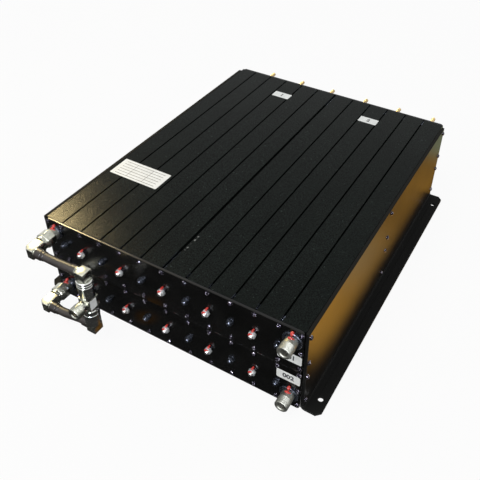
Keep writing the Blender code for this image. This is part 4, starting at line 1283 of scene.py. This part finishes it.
class DUPLEXER_OT_cables(bpy.types.Operator):
    """Make the two harness leads with their sleeves"""
    bl_idname = "duplexer.cables"
    bl_label = "Harness leads"

    def execute(self, context):
        for deck in DECKS:
            self.lead(context.scene.duplexer_connectors, deck)
        return {"FINISHED"}

    def lead(self, sizes, deck):
        """A lead that rises in an S from its elbow plug to its square plug."""
        node = f"harness_cable_{deck}"
        straight, sag, steps = 0.008, 0.0008, 8
        z = middle(f"panel_jack_{deck}_left").z
        rise = plug_height(deck) - z
        start, end = low(node).x, high(node).x
        bend_start, bend_end = start + straight, end - straight
        points = [(start, CABLE_Y, z)]
        for step in range(steps + 1):
            share = step / steps
            lift = rise * share * share * (3 - 2 * share) - sag * math.sin(math.pi * share) ** 2
            points.append((bend_start + (bend_end - bend_start) * share, CABLE_Y, z + lift))
        points.append((end, CABLE_Y, z + rise))
        bm = tube_mesh(points, [sizes.cable_radius - CLEARANCE] * len(points), 10)
        make_piece(f"{node}_jacket", bm, "cable_jacket", replaces=[node])
        sleeves = bmesh.new()
        for radius, x_start, x_end, height in (
            (sizes.sleeve_radius, JACK_X + 0.0079, JACK_X + 0.0170, z),
            (sizes.cable_radius + 0.0005, JACK_X + 0.0165, JACK_X + 0.0210, z),
            (sizes.sleeve_radius - 0.0002, TEE_X - 0.0160, TEE_X - 0.0064, z + rise),
        ):
            stamp(sleeves, self.sleeve(radius, x_start, x_end, height))
        make_piece(f"{node}_sleeves", sleeves, "shrink_sleeve")

    def sleeve(self, radius, x_start, x_end, z):
        """A closed collar along the lead's axis with rounded ends."""
        half = (x_end - x_start) / 2
        inner, edge = 0.0050, min(0.0006, half / 2)
        bm = revolve([
            (inner, half), (radius - edge, half), (radius, half - edge),
            (radius, edge - half), (radius - edge, -half), (inner, -half),
        ])
        bm.transform(facing_side((x_start + x_end) / 2, CABLE_Y, z))
        return bm


class DUPLEXER_OT_tee(bpy.types.Operator):
    """Make the tee with its three threaded ports"""
    bl_idname = "duplexer.tee"
    bl_label = "Tee"

    def execute(self, context):
        sizes = context.scene.duplexer_connectors
        side = 2 * TEE_HALF
        neck, sunk, corner_radius, edge = 0.0070, TEE_HALF - 0.0005, 0.0012, 0.0007
        block = slab(rounded_rectangle(side, side, corner_radius, 4), side)
        bmesh.ops.translate(block, verts=block.verts, vec=(-TEE_HALF, -TEE_HALF, -TEE_HALF))
        round_edges(block, edge, 3, 40)
        reach = high("tee_connector").z - TEE_Z
        branch = CABLE_Y - low("tee_connector").y
        port = revolve(socket_profile(sizes, reach) + [(neck, sunk), (0.0, sunk)])
        front = revolve(socket_profile(sizes, branch) + [(neck, sunk), (0.0, sunk)])
        stamp(block, port)
        stamp(block, port, Matrix.Rotation(2 * QUARTER, 4, "X"))
        stamp(block, front, Matrix.Rotation(QUARTER, 4, "X"))
        block.transform(Matrix.Translation((TEE_X, CABLE_Y, TEE_Z)))
        node = "tee_connector"
        make_piece(f"{node}_body", block, "plated_nickel", replaces=[node])
        add_contact(sizes, "antenna_port", facing_front(TEE_X, CABLE_Y, TEE_Z), branch)
        side_face = facing_side(TEE_X + TEE_HALF, CABLE_Y, TEE_Z)
        corner = side_face @ Matrix.Translation((-0.0074, -0.0066, 0))
        sticker("tee_sticker", 0.0136, 0.0099, corner, 0.0008)
        return {"FINISHED"}


# Stickers

FILM_THICKNESS = 0.00015
INK_THICKNESS = 0.00004
LINE_LIFT = 0.00016
NUMBER_LIFT = 0.00018


def sticker(name, width, height, matrix, corner=0.0012):
    """A thin blank film on a surface, its lower left corner at the matrix's origin."""
    bm = slab(rounded_rectangle(width, height, corner, 4), FILM_THICKNESS)
    bm.transform(matrix)
    make_piece(name, bm, "sticker_film")


def ruled_lines(name, lines, matrix):
    """Printed lines on a sticker: (left, bottom, width, height) each."""
    bm = bmesh.new()
    for left, bottom, width, height in lines:
        stroke = slab(rectangle(width, height), INK_THICKNESS)
        stamp(bm, stroke, matrix @ Matrix.Translation((left, bottom, LINE_LIFT)))
    make_piece(name, bm, "sticker_ink")


def numeral(name, text, size, matrix):
    """A plain printed number, centred on the matrix's origin."""
    curve = bpy.data.curves.new(name, "FONT")
    curve.body = text
    curve.size = size
    curve.offset = 0.035 * size
    curve.extrude = INK_THICKNESS / 2
    curve.align_x = "CENTER"
    curve.align_y = "CENTER"
    bm = curve_mesh(curve)
    bmesh.ops.remove_doubles(bm, verts=bm.verts, dist=0.000002)
    bm.transform(matrix @ lifted(NUMBER_LIFT))
    make_piece(name, bm, "sticker_ink")


class DUPLEXER_OT_stickers(bpy.types.Operator):
    """Make the blank nameplate sticker and the numbered port and deck stickers"""
    bl_idname = "duplexer.stickers"
    bl_label = "Stickers"

    def execute(self, context):
        self.nameplate(Matrix.Translation((LEFT_X + 0.0033, FRONT_Y + 0.1073, TOP_Z)))
        for name, x, y, text in (
            ("deck_sticker_left", 0.0845, 0.3973, "1"), ("deck_sticker_right", 0.2320, 0.3970, "2"),
        ):
            corner = Matrix.Translation((LEFT_X + x, FRONT_Y + y, TOP_Z))
            self.numbered(name, text, 0.0100, 0.0283, 0.0150, corner, 0.0012)
        for name, z, text in (
            ("port_sticker_upper", 0.0764, "001"), ("port_sticker_lower", 0.0420, "002"),
        ):
            corner = facing_front(LEFT_X + 0.3175, front_face(), z)
            self.numbered(name, text, 0.0092, 0.0285, 0.0136, corner, 0.0018)
        return {"FINISHED"}

    def nameplate(self, place):
        """A blank form of ruled lines."""
        sticker("nameplate_sticker", 0.0747, 0.0342, place)
        bottom, spacing, weight, rule = 0.0035, 0.0052, 0.0006, 0.0004
        rows = [(0.006, bottom + spacing * row, 0.0627, weight) for row in range(6)]
        columns = [(left, bottom, rule, 0.0266) for left in (0.024, 0.049)]
        ruled_lines("nameplate_lines", rows + columns, place)

    def numbered(self, name, text, size, width, height, place, corner):
        """A sticker with a number in its middle."""
        sticker(name, width, height, place, corner)
        centre = place @ Matrix.Translation((width / 2, height / 2, 0))
        numeral(f"{name}_number", text, size, centre)


# The stage

class DUPLEXER_OT_stage(bpy.types.Operator):
    """Make the floor, the lamps, the background and the camera"""
    bl_idname = "duplexer.stage"
    bl_label = "Stage"

    def execute(self, context):
        stage = context.scene.duplexer_stage
        self.floor()
        self.background(stage)
        self.lamp("key_lamp", stage.key_light, 1.2, (-0.3, -1.1, 1.7), (1.0, 0.98, 0.95), True)
        self.lamp("sheen_lamp", stage.sheen_light, 0.2, (-1.155, 0.42, 1.05), (1.0, 0.78, 0.38))
        for number, place in enumerate(((0.20, -1.30, 1.00), (1.00, -1.10, 0.70))):
            self.lamp(f"glint_lamp_{number}", stage.glint_light, 0.06, place, (0.90, 0.90, 1.0))
        self.warm_card(stage)
        self.dark_card(stage)
        self.camera(context, stage)
        context.scene.view_settings.view_transform = "Standard"
        return {"FINISHED"}

    def show_white(self, tree, light, white, share, target):
        """Sends white to the camera, to reflections and to glass, and the light elsewhere."""
        path = tree.nodes.new("ShaderNodeLightPath").outputs
        seen = combine(tree, "MAXIMUM", path["Is Camera Ray"], path["Is Glossy Ray"])
        seen = combine(tree, "MAXIMUM", seen, path["Is Transmission Ray"])
        mix = tree.nodes.new("ShaderNodeMixShader")
        tree.links.new(combine(tree, "MULTIPLY", seen, share), mix.inputs["Fac"])
        tree.links.new(light, mix.inputs[1])
        tree.links.new(white, mix.inputs[2])
        tree.links.new(mix.outputs["Shader"], tree.nodes[target].inputs["Surface"])

    def floor(self):
        """Pale floor that is white to the camera and keeps the object's shadow."""
        material = bpy.data.materials.new("floor_white")
        material.use_nodes = True
        tree = material.node_tree
        shader = tree.nodes["Principled BSDF"]
        feed(tree, shader.inputs["Base Color"], (0.80, 0.80, 0.80))
        feed(tree, shader.inputs["Roughness"], 0.9)
        feed(tree, shader.inputs["Specular IOR Level"], 0.1)
        glow = tree.nodes.new("ShaderNodeEmission")
        feed(tree, glow.inputs["Color"], (1.0, 1.0, 1.0))
        self.show_white(tree, shader.outputs[0], glow.outputs[0], 0.93, "Material Output")
        bm = bmesh.new()
        bmesh.ops.create_grid(bm, x_segments=1, y_segments=1, size=6.0)
        mesh_object("floor", bm, material)

    def background(self, stage):
        world = bpy.data.worlds.new("studio")
        bpy.context.scene.world = world
        world.use_nodes = True
        tree = world.node_tree
        light = tree.nodes["Background"]
        white = tree.nodes.new("ShaderNodeBackground")
        for node in (light, white):
            feed(tree, node.inputs["Color"], (1.0, 1.0, 1.0))
        feed(tree, light.inputs["Strength"], stage.fill_light)
        self.show_white(tree, light.outputs[0], white.outputs[0], 1.0, "World Output")

    def lamp(self, name, power, size, place, tint, lights=False):
        """A square lamp aimed at the object, which lights it or only shows in reflections."""
        light = bpy.data.lights.new(name, "AREA")
        light.energy = power
        light.size = size
        light.color = tint
        thing = place_object(name, light)
        thing.location = place
        aim = Vector((0.0, -0.05, 0.1)) - Vector(place)
        thing.rotation_euler = aim.to_track_quat("-Z", "Y").to_euler()
        thing.visible_diffuse = lights

    def warm_card(self, stage):
        """Warm glowing card on the floor beside the right bracket, seen only in reflections; its
        glow makes the warm reflection on the bracket's wall.
        """
        wall = high("side_bracket_right").x
        material, tree, glow, place = self.card_material("warm_card")
        coordinates = axes(tree, place)
        x, y = coordinates["X"], coordinates["Y"]

        def along(start, end, low_out, high_out):
            """A value that changes from front to rear, measured from the front."""
            return spread(tree, y, FRONT_Y + start, FRONT_Y + end, low_out, high_out)

        def behind(start, end, low_out, high_out):
            """The same, measured from the rear."""
            return spread(tree, y, REAR_Y + start, REAR_Y + end, low_out, high_out)

        # The glow's strength and tone are shaped by position to lay the warm reflection on the
        # wall.
        inset = combine(tree, "ADD", x, along(0, 0.12, -0.010, 0))
        inner = along(0.18, 0.42, 0.85, 2.6)
        rest = combine(tree, "SUBTRACT", 1.0, inner)
        ramp = product(tree, spread(tree, inset, wall, wall + 0.018, 0, 1), rest)
        ramp = combine(tree, "ADD", inner, ramp)
        ramp = product(tree, ramp, spread(tree, inset, wall, wall + 0.002, 0, 1))
        rise = combine(tree, "MAXIMUM", ramp, behind(-0.006, 0.010, 0, 1))
        rise = product(tree, rise, along(0.040, 0.080, 0, 1))
        front_glow, rear_glow = stage.card_glow, 0.37 * stage.card_glow
        fade = spread(tree, y, FRONT_Y + 0.05, REAR_Y + 0.05, front_glow, rear_glow)
        dip = spread(tree, away(tree, y, FRONT_Y + 0.375), 0.02, 0.075, 0.74, 1)
        fall = product(tree, fade, along(0.16, 0.27, 1.42, 1.03), dip)
        tree.links.new(product(tree, rise, fall), glow.inputs["Strength"])
        near = spread(tree, away(tree, y, FRONT_Y + 0.26), 0.02, 0.09, 0.85, 0)
        pale = product(tree, near, spread(tree, x, wall + 0.008, wall + 0.032, 0, 1))
        tone = blend_colour(tree, pale, (1.0, 0.50, 0.075), (0.95, 0.68, 0.33))
        tone = blend_colour(tree, behind(0.085, 0.135, 0, 1), tone, (0.80, 0.88, 0.52))
        tree.links.new(tone, glow.inputs["Color"])
        self.card("warm_card", material, [
            (wall, FRONT_Y), (wall + 0.26, FRONT_Y), (wall + 0.40, REAR_Y + 0.9),
            (wall - 0.10, REAR_Y + 0.9), (wall - 0.030, REAR_Y - 0.006), (wall, REAR_Y - 0.006),
        ])

    def dark_card(self, stage):
        """Dimly glowing card on the floor before the front, seen only in reflections, with a bright
        warm glowing spot below the harness.
        """
        front = front_face()
        right = RIGHT_X + 0.02
        material, tree, glow, place = self.card_material("dark_card")
        feed(tree, glow.inputs["Strength"], stage.dark_glow)
        # The warm spot glows bright orange and shows as a warm reflection on the lower square plug.
        spot = tree.nodes.new("ShaderNodeVectorMath")
        spot.operation = "DISTANCE"
        tree.links.new(place, spot.inputs[0])
        spot.inputs[1].default_value = (TEE_X + 0.026, CABLE_Y + 0.016, 0.0)
        near = spread(tree, spot.outputs["Value"], 0.008, 0.020, 1, 0)
        tone = blend_colour(tree, near, (0.8, 0.8, 0.8), (3.4, 1.5, 0.2))
        tree.links.new(tone, glow.inputs["Color"])
        self.card("dark_card", material, [
            (-1.1, front), (-1.1, front - 1.0), (0.60, front - 1.0), (0.60, front - 0.10),
            (right, front - 0.02), (right, front),
        ])

    def card_material(self, name):
        """A material that only glows, with its tree, its glow and the object's coordinates."""
        material = bpy.data.materials.new(name)
        material.use_nodes = True
        tree = material.node_tree
        glow = tree.nodes.new("ShaderNodeEmission")
        tree.links.new(glow.outputs["Emission"], tree.nodes["Material Output"].inputs["Surface"])
        return material, tree, glow, tree.nodes.new("ShaderNodeTexCoord").outputs["Object"]

    def card(self, name, material, outline):
        """A flat card just above the floor that only shows in glossy reflections."""
        lift = 0.0006
        bm = bmesh.new()
        bm.faces.new([bm.verts.new((x, y, lift)) for x, y in outline])
        thing = mesh_object(name, bm, material)
        thing.visible_camera = False
        thing.visible_diffuse = False
        thing.visible_shadow = False

    def camera(self, context, stage):
        data = bpy.data.cameras.new("camera")
        data.lens = stage.camera_lens
        data.sensor_width = 36.0
        data.shift_x, data.shift_y = stage.camera_shift
        data.clip_start = 0.01
        camera = place_object("camera", data)
        camera.location = stage.camera_place
        camera.rotation_euler = stage.camera_turn
        context.scene.camera = camera


PROPERTY_GROUPS = {
    "duplexer_body": DuplexerBodySizes,
    "duplexer_hardware": DuplexerHardwareSizes,
    "duplexer_connectors": DuplexerConnectorSizes,
    "duplexer_finishes": DuplexerFinishes,
    "duplexer_stage": DuplexerStage,
}

OPERATORS = (
    DUPLEXER_OT_stage,
    DUPLEXER_OT_finishes,
    DUPLEXER_OT_plates,
    DUPLEXER_OT_brackets,
    DUPLEXER_OT_screws,
    DUPLEXER_OT_channel_screws,
    DUPLEXER_OT_bolts,
    DUPLEXER_OT_coupling_screws,
    DUPLEXER_OT_tuning_rods,
    DUPLEXER_OT_panel_jacks,
    DUPLEXER_OT_elbow_plugs,
    DUPLEXER_OT_square_plugs,
    DUPLEXER_OT_cables,
    DUPLEXER_OT_tee,
    DUPLEXER_OT_stickers,
)


class DUPLEXER_PT_panel(bpy.types.Panel):
    """Sizes, finishes and the steps that build the dressed duplexer"""
    bl_label = "Cavity duplexer"
    bl_idname = "DUPLEXER_PT_panel"
    bl_space_type = "VIEW_3D"
    bl_region_type = "UI"
    bl_category = "Duplexer"

    def draw(self, context):
        for name, group in PROPERTY_GROUPS.items():
            box = self.layout.box()
            settings = getattr(context.scene, name)
            for field in group.__annotations__:
                box.prop(settings, field)
        for operator in OPERATORS:
            self.layout.operator(operator.bl_idname)


def register():
    for name, group in PROPERTY_GROUPS.items():
        bpy.utils.register_class(group)
        setattr(bpy.types.Scene, name, bpy.props.PointerProperty(type=group))
    for operator in OPERATORS:
        bpy.utils.register_class(operator)
    bpy.utils.register_class(DUPLEXER_PT_panel)


def unregister():
    bpy.utils.unregister_class(DUPLEXER_PT_panel)
    for operator in reversed(OPERATORS):
        bpy.utils.unregister_class(operator)
    for name, group in PROPERTY_GROUPS.items():
        delattr(bpy.types.Scene, name)
        bpy.utils.unregister_class(group)


def main():
    """Builds the whole scene."""
    register()
    for operator in OPERATORS:
        group, name = operator.bl_idname.split(".")
        getattr(getattr(bpy.ops, group), name)()


if __name__ == "__main__":
    main()
